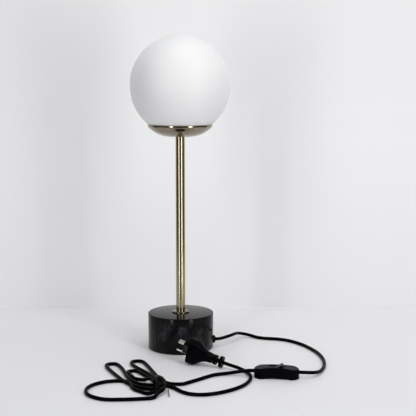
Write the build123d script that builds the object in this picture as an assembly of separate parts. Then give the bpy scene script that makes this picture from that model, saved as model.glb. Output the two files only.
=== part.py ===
from build123d import *
from math import cos, hypot, inf, radians, sin, sqrt, tan
import os

os.makedirs("parts", exist_ok=True)

# Glass globe table lamp: marble base, brass stem, dish, opal globe, and a cord
# with a rocker switch, a tied hank and a two-pin plug.
# Millimetres, Z up. The origin is under the middle of the base, on the table.

# ---------------------------------------------------------------- base sizes
BASE_RADIUS = 50.0
MARBLE_HEIGHT = 53.5
MARBLE_TOP_ROUNDING = 1.2
MARBLE_BOTTOM_CHAMFER = 0.8
CAVITY_RADIUS = 32.0
CAVITY_ROOF = 17.0
PAD_RADIUS = 48.0
PAD_THICKNESS = 1.5
COVER_LEDGE = 4.0
COVER_THICKNESS = 1.5
COVER_PLAY = 0.3
MARBLE_PLAY = 0.5

# ------------------------------------------------------- threaded stem sizes
THREAD_DIAMETER = 10.0
THREAD_PLAY = 0.05
NIPPLE_BORE = 7.0
WASHER_HOLE_PLAY = 0.25
NUT_FLATS = 14.0
NUT_THICKNESS = 4.0
NUT_CHAMFER = 0.6
WASHER_DIAMETER = 36.0
WASHER_THICKNESS = 2.0
LOCK_WASHER_DIAMETER = 18.0
LOCK_WASHER_THICKNESS = 1.5
LOCK_WASHER_SLIT = 1.2
THREAD_STICKING_OUT = 1.2
STEM_DIAMETER = 14.0
STEM_WALL = 1.0
STEM_LENGTH = 266.8
STEM_FLANGE_DIAMETER = 26.5
STEM_FLANGE_THICKNESS = 2.0
STEM_FLANGE_CHAMFER = 0.5
INSERT_LENGTH = 20.0
INSERT_PLAY = 0.05

# ------------------------------------------------------ dish and globe sizes
GLOBE_RADIUS = 75.0
GLOBE_WALL = 2.5
GLOBE_MOUTH_ANGLE = 30.8
GLOBE_RIM_CLEARANCE = 0.25
DISH_TIGHTER_BY = 3.34
DISH_RIM_ANGLE = 42.7
DISH_WALL = 0.8
DISH_SEAT_RADIUS = 10.0
HUB_RADIUS = 8.2
RING_INSET = 0.9
RING_WIDTH = 3.5
RING_CLEARANCE = 0.3
RING_DISH_CLEARANCE = 0.1
CLIP_COUNT = 3
CLIP_THICKNESS = 0.8
CLIP_WIDTH = 8.0
CLIP_GLASS_CLEARANCE = 0.3
CLIP_TOP_ABOVE_MOUTH = 9.0

# -------------------------------------------------- lampholder and bulb sizes
BRACKET_THICKNESS = 1.0
BRACKET_WIDTH = 6.0
BRACKET_BACK = 11.0
BRACKET_RISE = 14.8
HOLDER_LENGTH = 22.0
HOLDER_WIDTH = 14.0
HOLDER_HEIGHT = 20.0
HOLDER_CORNER = 3.0
SOCKET_DEPTH = 4.0
PIN_SPACING = 9.0
BULB_PIN_WIDTH = 2.4
BULB_PIN_THICKNESS = 0.9
BULB_PIN_LENGTH = 7.0
CONTACT_THICKNESS = 0.35
CONTACT_WIDTH = 2.8
CONTACT_HEIGHT = 7.0
CONTACT_PLAY = 0.15
CONTACT_FLOOR = 6.0
BULB_BASE_LENGTH = 15.0
BULB_BASE_WIDTH = 9.0
BULB_BASE_HEIGHT = 5.0
BULB_PLAY = 0.3
BULB_DIAMETER = 16.0
BULB_GLASS_LENGTH = 41.0
HOLDER_SCREW_DIAMETER = 3.0
HOLDER_SCREW_LENGTH = 6.0

# ---------------------------------------------------------------- cord sizes
CORD_DIAMETER = 5.0
CORE_DIAMETER = 1.8
CORD_PLAY = 0.1
CORD_EXIT_HEIGHT = 12.0
CORD_EXIT_REACH = 3.5
FLEX_BEND_RADIUS = 15.0
FLOOR_GAP = 0.1
GROMMET_HEAD_DIAMETER = 12.0
GROMMET_HEAD_THICKNESS = 2.3
GROMMET_BOSS_DIAMETER = 8.0
GROMMET_SLEEVE_DIAMETER = 7.3
GROMMET_SLEEVE_LENGTH = 12.0
GROMMET_PLAY = 0.1
ANCHOR_LENGTH = 9.0
ANCHOR_WIDTH = 16.0
ANCHOR_HEIGHT = 10.0
ANCHOR_SCREW_SPREAD = 5.2
ANCHOR_SCREW_DIAMETER = 2.5

# -------------------------------------------------------------- switch sizes
SWITCH_CENTRE = (132.4, -163.7)
SWITCH_AZIMUTH = -9.0
SWITCH_LENGTH = 62.5
SWITCH_WIDTH = 25.0
SWITCH_WAIST = 20.8
SWITCH_SHOULDER = 22.0
SWITCH_HEIGHT = 16.0
SWITCH_END_HEIGHT = 13.0
SWITCH_ARCH = 1.3
SWITCH_WALL = 1.8
SWITCH_ROUNDING = 2.0
SWITCH_CORNER = 4.0
SWITCH_SPLIT = 8.5
ROCKER_RADIUS = 10.7
ROCKER_WIDTH = 13.0
ROCKER_OPENING_PLAY = 0.3
ROCKER_SIDE_PLAY = 0.4
ROCKER_TILT = 14.0
ROCKER_CORNER_ANGLE = 33.0
ROCKER_SKIRT_ANGLE = -12.0
ROCKER_DIP = 4.0
ROCKER_DEPTH = 5.0
PIVOT_HEIGHT = 11.5
PIVOT_DIAMETER = 2.4
PIVOT_PLAY = 0.05
PIVOT_BOSS_RADIUS = 3.0
PIVOT_BOSS_DEPTH = 1.5
BLADE_THICKNESS = 0.5
BLADE_REACH = 6.5
BLADE_WIDTH = 5.0
BLADE_DROP = 0.55
TERMINAL_LENGTH = 6.0
TERMINAL_SIZE = 5.0
TERMINAL_POSITION = 15.5
TERMINAL_OFFSET = 4.0
TONGUE_THICKNESS = 0.55
TONGUE_REACH = 5.0
TERMINAL_SCREW_DIAMETER = 2.5
HOUSING_SCREW_POSITION = (22.5, 7.0)
HOUSING_SCREW_DIAMETER = 2.6
HOUSING_SCREW_HEAD = 4.4
HOUSING_BOSS_DIAMETER = 4.8
SHEATH_STUB = 7.0

# ---------------------------------------------------------------- plug sizes
PLUG_FACE_CENTRE = (12.5, -94.0, 21.2)
PLUG_CORD_END = (60.0, -118.5, 8.7)
PLUG_FACE_HEIGHT = 38.5
PLUG_FACE_WIDTH = 20.0
PLUG_FACE_CORNER = 7.5
PLUG_EDGE = 1.2
PLUG_PIN_SPREAD = 6.85
PLUG_PIN_TURN = 30.0
PLUG_PIN_WIDTH = 6.3
PLUG_PIN_THICKNESS = 1.6
PLUG_PIN_LENGTH = 19.0
PLUG_PIN_EMBEDDED = 8.0
PLUG_SLEEVE_LENGTH = 9.5
PLUG_SLEEVE_WALL = 0.35
RELIEF_CORE_DIAMETER = 6.6

# -------------------------------------------------------------- cord routes
# Points chosen along each free stretch of cord, as it lies on the table.
EXIT_X = BASE_RADIUS + CORD_EXIT_REACH
CORD_Z = CORD_DIAMETER / 2 + FLOOR_GAP
BASE_TO_SWITCH = [
    (EXIT_X, 0, CORD_EXIT_HEIGHT), (61.5, 0, CORD_EXIT_HEIGHT), (70.2, 3.8, 12.3),
    (76, 12, 12.6), (79.6, 23.5, 12), (81.6, 36, 10.4), (85.8, 48.6, 7.8), (98, 55.6, 5),
    (111.6, 53.6, 3.3), (120, 44.2, CORD_Z), (131.5, 37.4, CORD_Z), (144, 34.4, CORD_Z),
    (157, 30.8, CORD_Z), (169.5, 22.6, CORD_Z), (181, 9, CORD_Z), (191, -8, CORD_Z),
    (200, -30, CORD_Z), (207, -57, CORD_Z), (209, -85, CORD_Z), (207, -110, CORD_Z),
    (202, -131, CORD_Z), (195.5, -147.5, 3.4), (189.5, -158.5, 5.2), (182, -167, 7.2),
]
SWITCH_TO_HANK = [
    (84.5, -155.4, 6.6), (73, -153, 4.2), (60, -152.6, CORD_Z), (46.5, -157, CORD_Z),
    (34.5, -168, CORD_Z), (22.5, -180.5, CORD_Z), (8, -194, CORD_Z),
]
HANK_TO_PLUG = [
    (-5, -222, CORD_Z), (2, -234, CORD_Z), (12.5, -243, CORD_Z), (28, -246, CORD_Z),
    (44.5, -241.5, CORD_Z), (61, -231.5, CORD_Z), (76.5, -217.5, CORD_Z), (88.6, -199.5, CORD_Z),
    (95.4, -180, CORD_Z), (96.6, -161.5, CORD_Z), (93.2, -146.8, CORD_Z), (86.2, -136, 3.6),
    (77, -128.6, 5.4),
]
END_RUN = 8.0

# ------------------------------------------------------------------ the hank
# Four loops, each out to a round tip and back, joined by three folds that
# stand up over the strand leaving the bundle. Headings are in degrees from X.
ENTRY_STRAND = [(-5, -199, 182), (-18, -194, 135)]
EXIT_STRAND = [(-47, -201.5, -15), (-30, -203, -8), (-16, -207.5, -38)]
# root out (x, y, heading), tip (x, y, bearing), width, root back, side of turn
LOOPS = [
    ((-35, -157, 110), (-68, -87.5, 99), 15.5, (-41.2, -159, -65), 1),
    ((-40, -258, 192), (-130.5, -227, 179), 71.5, (-54.5, -228, -47), -1),
    ((-39.8, -176.5, 112), (-70, -136, 115), 16.0, (-54, -177.5, -19), 1),
    ((-42, -221.5, 146), (-106.5, -107, 107), 22.5, (-61, -191.5, -59), -1),
]
# each fold rises from the table, crosses and comes down: (x, y, z, heading)
FOLDS = [
    [(-28.5, -189.5, 9.3, -67), (-21.5, -212, 7.8, -91), (-27.5, -240, 5.3, -126)],
    [(-38, -239.5, 3.8, 10), (-31.5, -213, 13.5, 94), (-34, -191, 9.8, 112)],
    [(-42.5, -188.5, 7.4, -48), (-37.5, -198.5, 8.6, -84), (-32, -220.5, 5.6, -134)],
]
TIE_WIDTH = 2.4
TIE_THICKNESS = 0.8
TIE_PLANE_Y = -213.5
TIE_LEFT = -37.6
TIE_RIGHT = -17.6
TIE_TOP = 16.9
TIE_BOTTOM = 0.7
TIE_CORNER = 6.0
TIE_TAIL = [(-16.8, -221, 3.6), (-15, -247, 1.3)]

# ------------------------------------------------------------ stacked heights
PAD_TOP = PAD_THICKNESS
BASE_TOP = PAD_TOP + MARBLE_HEIGHT
CAVITY_TOP = BASE_TOP - CAVITY_ROOF
WASHER_BOTTOM = CAVITY_TOP - WASHER_THICKNESS
LOCK_BOTTOM = WASHER_BOTTOM - LOCK_WASHER_THICKNESS
NUT_BOTTOM = LOCK_BOTTOM - NUT_THICKNESS
STEM_BOTTOM = BASE_TOP + STEM_FLANGE_THICKNESS
STEM_TOP = STEM_BOTTOM + STEM_LENGTH
DISH_FLOOR = STEM_TOP + DISH_WALL
DISH_RADIUS = GLOBE_RADIUS - DISH_TIGHTER_BY
DISH_INNER_RADIUS = DISH_RADIUS - DISH_WALL
DISH_RIM_RADIUS = DISH_RADIUS * sin(radians(DISH_RIM_ANGLE))
DISH_CENTRE = STEM_TOP + sqrt(DISH_RADIUS**2 - DISH_SEAT_RADIUS**2)
FOOT_BOTTOM = DISH_FLOOR + CLIP_THICKNESS
UPPER_NUT_BOTTOM = FOOT_BOTTOM + BRACKET_THICKNESS
UPPER_NUT_TOP = UPPER_NUT_BOTTOM + NUT_THICKNESS
FLEX_TOP = UPPER_NUT_TOP + THREAD_STICKING_OUT
HOLDER_BOTTOM = FOOT_BOTTOM + BRACKET_RISE
HOLDER_TOP = HOLDER_BOTTOM + HOLDER_HEIGHT
SOCKET_BOTTOM = HOLDER_TOP - SOCKET_DEPTH
BULB_BASE_BOTTOM = SOCKET_BOTTOM + BULB_PLAY
BULB_GLASS_BOTTOM = BULB_BASE_BOTTOM + BULB_BASE_HEIGHT
RIM_SHARE = DISH_INNER_RADIUS / DISH_RADIUS
RIM_INNER = DISH_RIM_RADIUS * RIM_SHARE
RIM_INNER_Z = DISH_CENTRE - sqrt(DISH_INNER_RADIUS**2 - RIM_INNER**2)
GLOBE_CENTRE = RIM_INNER_Z + sqrt((GLOBE_RADIUS + GLOBE_RIM_CLEARANCE)**2 - RIM_INNER**2)
GLOBE_MOUTH_RADIUS = GLOBE_RADIUS * sin(radians(GLOBE_MOUTH_ANGLE))
MOUTH_Z = GLOBE_CENTRE - GLOBE_RADIUS * cos(radians(GLOBE_MOUTH_ANGLE))
GLOBE_INNER_RADIUS = GLOBE_RADIUS - GLOBE_WALL
MOUTH_INNER_RADIUS = sqrt(GLOBE_INNER_RADIUS**2 - (GLOBE_CENTRE - MOUTH_Z)**2)
RING_OUTER_RADIUS = GLOBE_MOUTH_RADIUS - RING_INSET
RING_INNER_RADIUS = RING_OUTER_RADIUS - RING_WIDTH
THREAD_HOLE = THREAD_DIAMETER / 2 + THREAD_PLAY
WASHER_HOLE = THREAD_DIAMETER / 2 + WASHER_HOLE_PLAY


# ------------------------------------------------------------ small helpers
def save(name, shape):
    """Write one sub-part to its own file."""
    shape.label = name
    export_step(shape, "parts/" + name + ".step")


def drum(radius, bottom, top):
    """Upright solid cylinder between two heights."""
    return Pos(0, 0, bottom) * Cylinder(radius, top - bottom, align=(Align.CENTER, Align.CENTER, Align.MIN))


def washer(outer, inner, bottom, top):
    """Upright ring between two heights."""
    return drum(outer, bottom, top) - drum(inner, bottom, top)


def spin(outline):
    """Revolve an outline in the XZ plane about the Z axis."""
    return revolve(make_face(outline), Axis.Z)


def hex_nut(bottom):
    """Chamfered hexagon nut with a plain bore."""
    blank = extrude(Pos(0, 0, bottom) * RegularPolygon(NUT_FLATS / sqrt(3), 6), NUT_THICKNESS)
    round_blank = drum(NUT_FLATS / sqrt(3), bottom, bottom + NUT_THICKNESS)
    crown = chamfer(round_blank.edges().filter_by(GeomType.CIRCLE), NUT_CHAMFER)
    return (blank & crown) - drum(THREAD_HOLE, bottom, bottom + NUT_THICKNESS)


def pan_screw(shank, length, head, head_height):
    """Slotted screw pointing up, its head's upper face at the origin."""
    body = drum(shank / 2, 0, length) + drum(head / 2, -head_height, 0)
    slot = Pos(0, 0, -head_height) * Box(head, head * 0.18, head_height)
    return body - slot


def arc_radii(points):
    """The largest radii that the runs on both sides of each corner allow."""
    vectors = [Vector(*p) for p in points]
    radii = []
    for before, corner, after in zip(vectors, vectors[1:], vectors[2:]):
        come, leave = corner - before, after - corner
        turn = radians(come.get_angle(leave))
        radii.append(0.45 * min(come.length, leave.length) / tan(turn / 2))
    return radii


def sweep_round(path, diameter):
    """Round section carried along a path."""
    return sweep(Plane(path @ 0, z_dir=path % 0) * Circle(diameter / 2), path=path)


def tube(name, points, diameter=CORD_DIAMETER):
    """Cord along straight runs joined by the widest arcs that they allow."""
    radii = arc_radii(points)
    path = FilletPolyline(*points, radius=radii)
    print(name, "length", round(path.length, 1), "least radius", round(min(radii), 1))
    return sweep_round(path, diameter)


def wire_lead(points, diameter, bend):
    """Thin lead with equal bends."""
    return sweep_round(FilletPolyline(*points, radius=bend), diameter)


# ------------------------------------------------------------------ the base
def marble_base():
    """Turned block with a cavity below, a stem hole and a side hole for the cord."""
    block = drum(BASE_RADIUS, PAD_TOP, BASE_TOP)
    rims = block.edges().filter_by(GeomType.CIRCLE).sort_by(Axis.Z)
    block = fillet(rims[-1], MARBLE_TOP_ROUNDING)
    block = chamfer(block.edges().filter_by(GeomType.CIRCLE).sort_by(Axis.Z)[0], MARBLE_BOTTOM_CHAMFER)
    block -= drum(CAVITY_RADIUS, PAD_TOP, CAVITY_TOP)
    block -= drum(CAVITY_RADIUS + COVER_LEDGE, PAD_TOP, PAD_TOP + COVER_THICKNESS)
    block -= drum(THREAD_DIAMETER / 2 + MARBLE_PLAY, CAVITY_TOP, BASE_TOP)
    side_hole = Cylinder(GROMMET_SLEEVE_DIAMETER / 2 + GROMMET_PLAY, BASE_RADIUS)
    return block - Pos(BASE_RADIUS, 0, CORD_EXIT_HEIGHT) * Rot(0, 90, 0) * side_hole


def base_cover_plate():
    """Steel disc let into the rebate under the cavity."""
    return drum(CAVITY_RADIUS + COVER_LEDGE - COVER_PLAY, PAD_TOP, PAD_TOP + COVER_THICKNESS)


def base_pad():
    """Soft disc glued under the marble."""
    return drum(PAD_RADIUS, 0, PAD_TOP)


def lock_washer():
    """Split spring washer, drawn flat as when tightened."""
    ring = washer(LOCK_WASHER_DIAMETER / 2, WASHER_HOLE, LOCK_BOTTOM, WASHER_BOTTOM)
    slit = Pos(LOCK_WASHER_DIAMETER / 2, 0, LOCK_BOTTOM + LOCK_WASHER_THICKNESS / 2)
    return ring - slit * Box(LOCK_WASHER_DIAMETER, LOCK_WASHER_SLIT, LOCK_WASHER_THICKNESS)


def cord_grommet():
    """Rubber bush: a sleeve in the side hole and a domed head on the marble."""
    hole = CORD_DIAMETER / 2 + CORD_PLAY
    sleeve = GROMMET_SLEEVE_DIAMETER / 2
    head = GROMMET_HEAD_DIAMETER / 2
    boss = GROMMET_BOSS_DIAMETER / 2
    front = BASE_RADIUS + GROMMET_HEAD_THICKNESS
    start = BASE_RADIUS - GROMMET_SLEEVE_LENGTH
    brow = (front - 0.3, (head + boss) / 2 + 0.9)
    outline = Line((start, hole), (start, sleeve))
    outline += Line((start, sleeve), (BASE_RADIUS - 1, sleeve))
    outline += Line((BASE_RADIUS - 1, sleeve), (BASE_RADIUS - 1, head))
    outline += Line((BASE_RADIUS - 1, head), (BASE_RADIUS + 1, head))
    outline += ThreePointArc((BASE_RADIUS + 1, head), brow, (front, boss))
    outline += Line((front, boss), (EXIT_X, boss))
    outline += Line((EXIT_X, boss), (EXIT_X, hole))
    outline += Line((EXIT_X, hole), (start, hole))
    bush = Pos(0, 0, CORD_EXIT_HEIGHT) * revolve(make_face(outline), Axis.X)
    marble_side = drum(BASE_RADIUS + THREAD_PLAY, 0, BASE_TOP)
    head_zone = Pos(0, 0, CORD_EXIT_HEIGHT) * Rot(0, 90, 0)
    inside = head_zone * Cylinder(sleeve, 2 * BASE_RADIUS)
    return bush - (marble_side - inside)


def anchor_end():
    """Where the cord clamp stops against the wall of the cavity."""
    return sqrt(CAVITY_RADIUS**2 - (ANCHOR_WIDTH / 2)**2) - RING_CLEARANCE


def cord_anchor_half(side):
    """One half of the two-piece cord clamp; side is 1 above and -1 below."""
    middle = anchor_end() - ANCHOR_LENGTH / 2
    height = ANCHOR_HEIGHT / 2
    block = Pos(0, 0, side * height / 2) * Box(ANCHOR_LENGTH, ANCHOR_WIDTH, height)
    block = fillet(block.edges().filter_by(Axis.X).sort_by(Axis.Z)[-2:] if side > 0
                   else block.edges().filter_by(Axis.X).sort_by(Axis.Z)[:2], 1.5)
    block -= Rot(0, 90, 0) * Cylinder(CORD_DIAMETER / 2 + THREAD_PLAY, ANCHOR_LENGTH)
    for across in (-ANCHOR_SCREW_SPREAD, ANCHOR_SCREW_SPREAD):
        block -= Pos(0, across, 0) * Cylinder(ANCHOR_SCREW_DIAMETER / 2 + THREAD_PLAY, ANCHOR_HEIGHT)
    return Pos(middle, 0, CORD_EXIT_HEIGHT) * block


def cord_anchor_screws():
    """Two screws that pull the halves of the cord clamp together."""
    middle = anchor_end() - ANCHOR_LENGTH / 2
    screw = pan_screw(ANCHOR_SCREW_DIAMETER, ANCHOR_HEIGHT, 4.4, 1.4)
    bottom = CORD_EXIT_HEIGHT - ANCHOR_HEIGHT / 2
    return Compound([Pos(middle, across, bottom) * screw
                     for across in (-ANCHOR_SCREW_SPREAD, ANCHOR_SCREW_SPREAD)])


def inner_flex():
    """Flex down the stem, round a bend in the cavity and out through the bush."""
    corner = (0, 0, CORD_EXIT_HEIGHT)
    path = FilletPolyline((0, 0, FLEX_TOP), corner, (EXIT_X, 0, CORD_EXIT_HEIGHT), radius=FLEX_BEND_RADIUS)
    return sweep_round(path, CORD_DIAMETER)


# ------------------------------------------------------------------ the stem
def nipple(bottom, top):
    """Hollow threaded rod, drawn at its outer diameter."""
    rod = drum(THREAD_DIAMETER / 2, bottom, top)
    rod = chamfer(rod.edges().filter_by(GeomType.CIRCLE), 0.5)
    return rod - drum(NIPPLE_BORE / 2, bottom, top)


def stem_flange():
    """Thin turned collar under the stem."""
    disc = drum(STEM_FLANGE_DIAMETER / 2, BASE_TOP, STEM_BOTTOM)
    disc = chamfer(disc.edges().filter_by(GeomType.CIRCLE).sort_by(Axis.Z)[-1], STEM_FLANGE_CHAMFER)
    return disc - drum(WASHER_HOLE, BASE_TOP, STEM_BOTTOM)


def stem_insert(bottom):
    """Threaded plug pressed into one end of the stem tube."""
    radius = STEM_DIAMETER / 2 - STEM_WALL - INSERT_PLAY
    return washer(radius, THREAD_HOLE, bottom, bottom + INSERT_LENGTH)


# ------------------------------------------------------------ dish and globe
def on_sphere(radius, sphere, centre):
    """Point of the lower half of a sphere at a given distance from the axis."""
    return (radius, 0, centre - sqrt(sphere**2 - radius**2))


def globe_dish():
    """Spun shallow bowl with a flat seat and a hole for the threaded rod."""
    seat, hole = DISH_SEAT_RADIUS, WASHER_HOLE
    outer_rim = on_sphere(DISH_RIM_RADIUS, DISH_RADIUS, DISH_CENTRE)
    inner_rim = on_sphere(RIM_INNER, DISH_INNER_RADIUS, DISH_CENTRE)
    outer_middle = on_sphere(DISH_RIM_RADIUS * 0.6, DISH_RADIUS, DISH_CENTRE)
    inner_middle = on_sphere(RIM_INNER * 0.6, DISH_INNER_RADIUS, DISH_CENTRE)
    inner_seat = sqrt(DISH_INNER_RADIUS**2 - (DISH_CENTRE - DISH_FLOOR)**2)
    outline = Line((hole, 0, STEM_TOP), (seat, 0, STEM_TOP))
    outline += ThreePointArc((seat, 0, STEM_TOP), outer_middle, outer_rim)
    outline += Line(outer_rim, inner_rim)
    outline += ThreePointArc(inner_rim, inner_middle, (inner_seat, 0, DISH_FLOOR))
    outline += Line((inner_seat, 0, DISH_FLOOR), (hole, 0, DISH_FLOOR))
    outline += Line((hole, 0, DISH_FLOOR), (hole, 0, STEM_TOP))
    return spin(outline)


def globe_seat_ring():
    """Silicone ring that the edge of the glass stands on."""
    top = MOUTH_Z - RING_CLEARANCE
    under = DISH_INNER_RADIUS - RING_DISH_CLEARANCE
    inner = on_sphere(RING_INNER_RADIUS, under, DISH_CENTRE)
    outer = on_sphere(RING_OUTER_RADIUS, under, DISH_CENTRE)
    middle = on_sphere((RING_INNER_RADIUS + RING_OUTER_RADIUS) / 2, under, DISH_CENTRE)
    outline = ThreePointArc(inner, middle, outer)
    outline += Line(outer, (RING_OUTER_RADIUS, 0, top))
    outline += Line((RING_OUTER_RADIUS, 0, top), (RING_INNER_RADIUS, 0, top))
    outline += Line((RING_INNER_RADIUS, 0, top), inner)
    return spin(outline)


def globe_clip_spring():
    """One stamping: a hub under the nut and leaves that grip inside the glass edge."""
    reach = sqrt((MOUTH_INNER_RADIUS - CLIP_GLASS_CLEARANCE)**2 - (CLIP_WIDTH / 2)**2) - CLIP_THICKNESS / 2
    hub = washer(HUB_RADIUS, WASHER_HOLE, DISH_FLOOR, FOOT_BOTTOM)
    level = DISH_FLOOR + CLIP_THICKNESS / 2
    bend = sqrt(DISH_SEAT_RADIUS**2 - (CLIP_WIDTH / 2)**2) - CLIP_GLASS_CLEARANCE
    leaf_line = Polyline(
        (WASHER_HOLE + 0.5, 0, level), (bend, 0, level), (reach - 3.6, 0, MOUTH_Z - 5.0),
        (reach - 1.2, 0, MOUTH_Z - 2.2), (reach, 0, MOUTH_Z + 1.0), (reach, 0, MOUTH_Z + 4.5),
        (reach - 1.8, 0, MOUTH_Z + CLIP_TOP_ABOVE_MOUTH))
    section = offset(leaf_line, CLIP_THICKNESS / 2, side=Side.BOTH, kind=Kind.INTERSECTION)
    leaf = extrude(make_face(section), CLIP_WIDTH / 2, dir=(0, 1, 0), both=True)
    for count in range(CLIP_COUNT):
        hub += Rot(0, 0, 90 + 360 * count / CLIP_COUNT) * leaf
    return hub - drum(WASHER_HOLE, DISH_FLOOR, UPPER_NUT_TOP)


def globe():
    """Blown glass sphere, open below at a cut and ground edge."""
    outer_mouth = (GLOBE_MOUTH_RADIUS, 0, MOUTH_Z)
    inner_mouth = (MOUTH_INNER_RADIUS, 0, MOUTH_Z)
    outer_side = (GLOBE_RADIUS, 0, GLOBE_CENTRE)
    inner_side = (GLOBE_INNER_RADIUS, 0, GLOBE_CENTRE)
    outer_top = (0, 0, GLOBE_CENTRE + GLOBE_RADIUS)
    inner_top = (0, 0, GLOBE_CENTRE + GLOBE_INNER_RADIUS)
    outline = ThreePointArc(outer_mouth, outer_side, outer_top)
    outline += Line(outer_top, inner_top)
    outline += ThreePointArc(inner_top, inner_side, inner_mouth)
    outline += Line(inner_mouth, outer_mouth)
    return spin(outline)


# ------------------------------------------------------- lampholder and bulb
def lampholder_bracket():
    """Bent strap: a round foot under the nut, an upright and a table for the holder."""
    half = BRACKET_THICKNESS / 2
    foot = washer(HUB_RADIUS, WASHER_HOLE, FOOT_BOTTOM, UPPER_NUT_BOTTOM)
    low, high = FOOT_BOTTOM + half, HOLDER_BOTTOM - half
    back = -BRACKET_BACK + half
    strap_line = Polyline((0, -WASHER_HOLE - 1, low), (0, back, low), (0, back, high), (0, 6, high))
    section = offset(strap_line, half, side=Side.BOTH, kind=Kind.INTERSECTION)
    strap = extrude(make_face(section), BRACKET_WIDTH / 2, dir=(1, 0, 0), both=True)
    strap = fillet(strap.edges().filter_by(Axis.X).group_by(Axis.Y)[0], 0.8)
    hole = drum(HOLDER_SCREW_DIAMETER / 2 + THREAD_PLAY, high - half, HOLDER_BOTTOM)
    return foot + strap - hole


def lampholder_body():
    """Ceramic block with a socket for the bulb's base and a slot for each pin."""
    plan = RectangleRounded(HOLDER_LENGTH, HOLDER_WIDTH, HOLDER_CORNER)
    block = extrude(Pos(0, 0, HOLDER_BOTTOM) * plan, HOLDER_HEIGHT)
    block = chamfer(block.faces().sort_by(Axis.Z)[-1].edges(), 0.8)
    socket_plan = Rectangle(BULB_BASE_LENGTH + 2 * BULB_PLAY, BULB_BASE_WIDTH + 2 * BULB_PLAY)
    block -= extrude(Pos(0, 0, SOCKET_BOTTOM) * socket_plan, SOCKET_DEPTH)
    slot_width = BULB_PIN_THICKNESS + 2 * (CONTACT_PLAY + CONTACT_THICKNESS) + 2 * THREAD_PLAY
    slot = Rectangle(slot_width, CONTACT_WIDTH + 2 * THREAD_PLAY)
    contact_bottom = HOLDER_BOTTOM + CONTACT_FLOOR
    for side in (-1, 1):
        x = side * PIN_SPACING / 2
        block -= extrude(Pos(x, 0, contact_bottom) * slot, SOCKET_BOTTOM - contact_bottom)
        block -= Pos(x, 0, 0) * drum(CORE_DIAMETER / 2 + CORD_PLAY, HOLDER_BOTTOM, contact_bottom)
    screw_hole = HOLDER_SCREW_DIAMETER / 2 + THREAD_PLAY
    return block - drum(screw_hole, HOLDER_BOTTOM, HOLDER_BOTTOM + HOLDER_SCREW_LENGTH)


def lampholder_contacts():
    """Two folded spring strips that grip the bulb's pins."""
    bottom = HOLDER_BOTTOM + CONTACT_FLOOR
    width = BULB_PIN_THICKNESS + 2 * (CONTACT_PLAY + CONTACT_THICKNESS)
    strip = extrude(Pos(0, 0, bottom) * Rectangle(width, CONTACT_WIDTH), CONTACT_HEIGHT)
    gap = Rectangle(width - 2 * CONTACT_THICKNESS, CONTACT_WIDTH)
    strip -= extrude(Pos(0, 0, bottom + CONTACT_THICKNESS) * gap, CONTACT_HEIGHT)
    return Compound([Pos(side * PIN_SPACING / 2, 0, 0) * strip for side in (-1, 1)])


def lampholder_leads():
    """Two insulated cores from the end of the flex up to the contacts."""
    leads = []
    for side in (-1, 1):
        start, end = side * CORE_DIAMETER * 0.6, side * PIN_SPACING / 2
        points = [(start, 0, FLEX_TOP), (start, 0, FLEX_TOP + 2), (end, 0, FLEX_TOP + 6),
                  (end, 0, HOLDER_BOTTOM + CONTACT_FLOOR)]
        leads.append(wire_lead(points, CORE_DIAMETER, 2.2))
    return Compound(leads)


def lampholder_screw():
    """Screw from below through the bracket into the holder."""
    screw = pan_screw(HOLDER_SCREW_DIAMETER, BRACKET_THICKNESS + HOLDER_SCREW_LENGTH, 5.5, 1.6)
    return Pos(0, 0, HOLDER_BOTTOM - BRACKET_THICKNESS) * screw


def bulb_pins():
    """Two flat looped pins under the bulb."""
    plan = RectangleRounded(BULB_PIN_THICKNESS, BULB_PIN_WIDTH, BULB_PIN_THICKNESS * 0.45)
    bottom = BULB_BASE_BOTTOM - BULB_PIN_LENGTH
    pin = extrude(Pos(0, 0, bottom) * plan, BULB_PIN_LENGTH)
    return Compound([Pos(side * PIN_SPACING / 2, 0, 0) * pin for side in (-1, 1)])


def bulb_base():
    """Flat insulating block that fits the socket."""
    plan = RectangleRounded(BULB_BASE_LENGTH, BULB_BASE_WIDTH, 1.5)
    return extrude(Pos(0, 0, BULB_BASE_BOTTOM) * plan, BULB_BASE_HEIGHT)


def bulb_capsule():
    """Capsule with a domed top."""
    capsule = drum(BULB_DIAMETER / 2, BULB_GLASS_BOTTOM, BULB_GLASS_BOTTOM + BULB_GLASS_LENGTH)
    capsule = fillet(capsule.edges().filter_by(GeomType.CIRCLE).sort_by(Axis.Z)[-1], BULB_DIAMETER * 0.45)
    return chamfer(capsule.edges().filter_by(GeomType.CIRCLE).sort_by(Axis.Z)[0], 1.0)


# ---------------------------------------------------------------- the switch
# Built along X at the origin and then laid in its place on the table.
SWITCH_PLACE = Pos(*SWITCH_CENTRE, 0) * Rot(0, 0, SWITCH_AZIMUTH)
SWITCH_HALF = SWITCH_LENGTH / 2
OPENING_HALF_LENGTH = ROCKER_RADIUS + ROCKER_OPENING_PLAY
OPENING_HALF_WIDTH = ROCKER_WIDTH / 2 + ROCKER_SIDE_PLAY
SWITCH_FLOOR = SWITCH_ARCH + SWITCH_WALL


def switch_point(along, across, height):
    """Place of a point given along and across the switch."""
    turn = radians(SWITCH_AZIMUTH)
    x = SWITCH_CENTRE[0] + along * cos(turn) - across * sin(turn)
    y = SWITCH_CENTRE[1] + along * sin(turn) + across * cos(turn)
    return (x, y, height)


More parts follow.
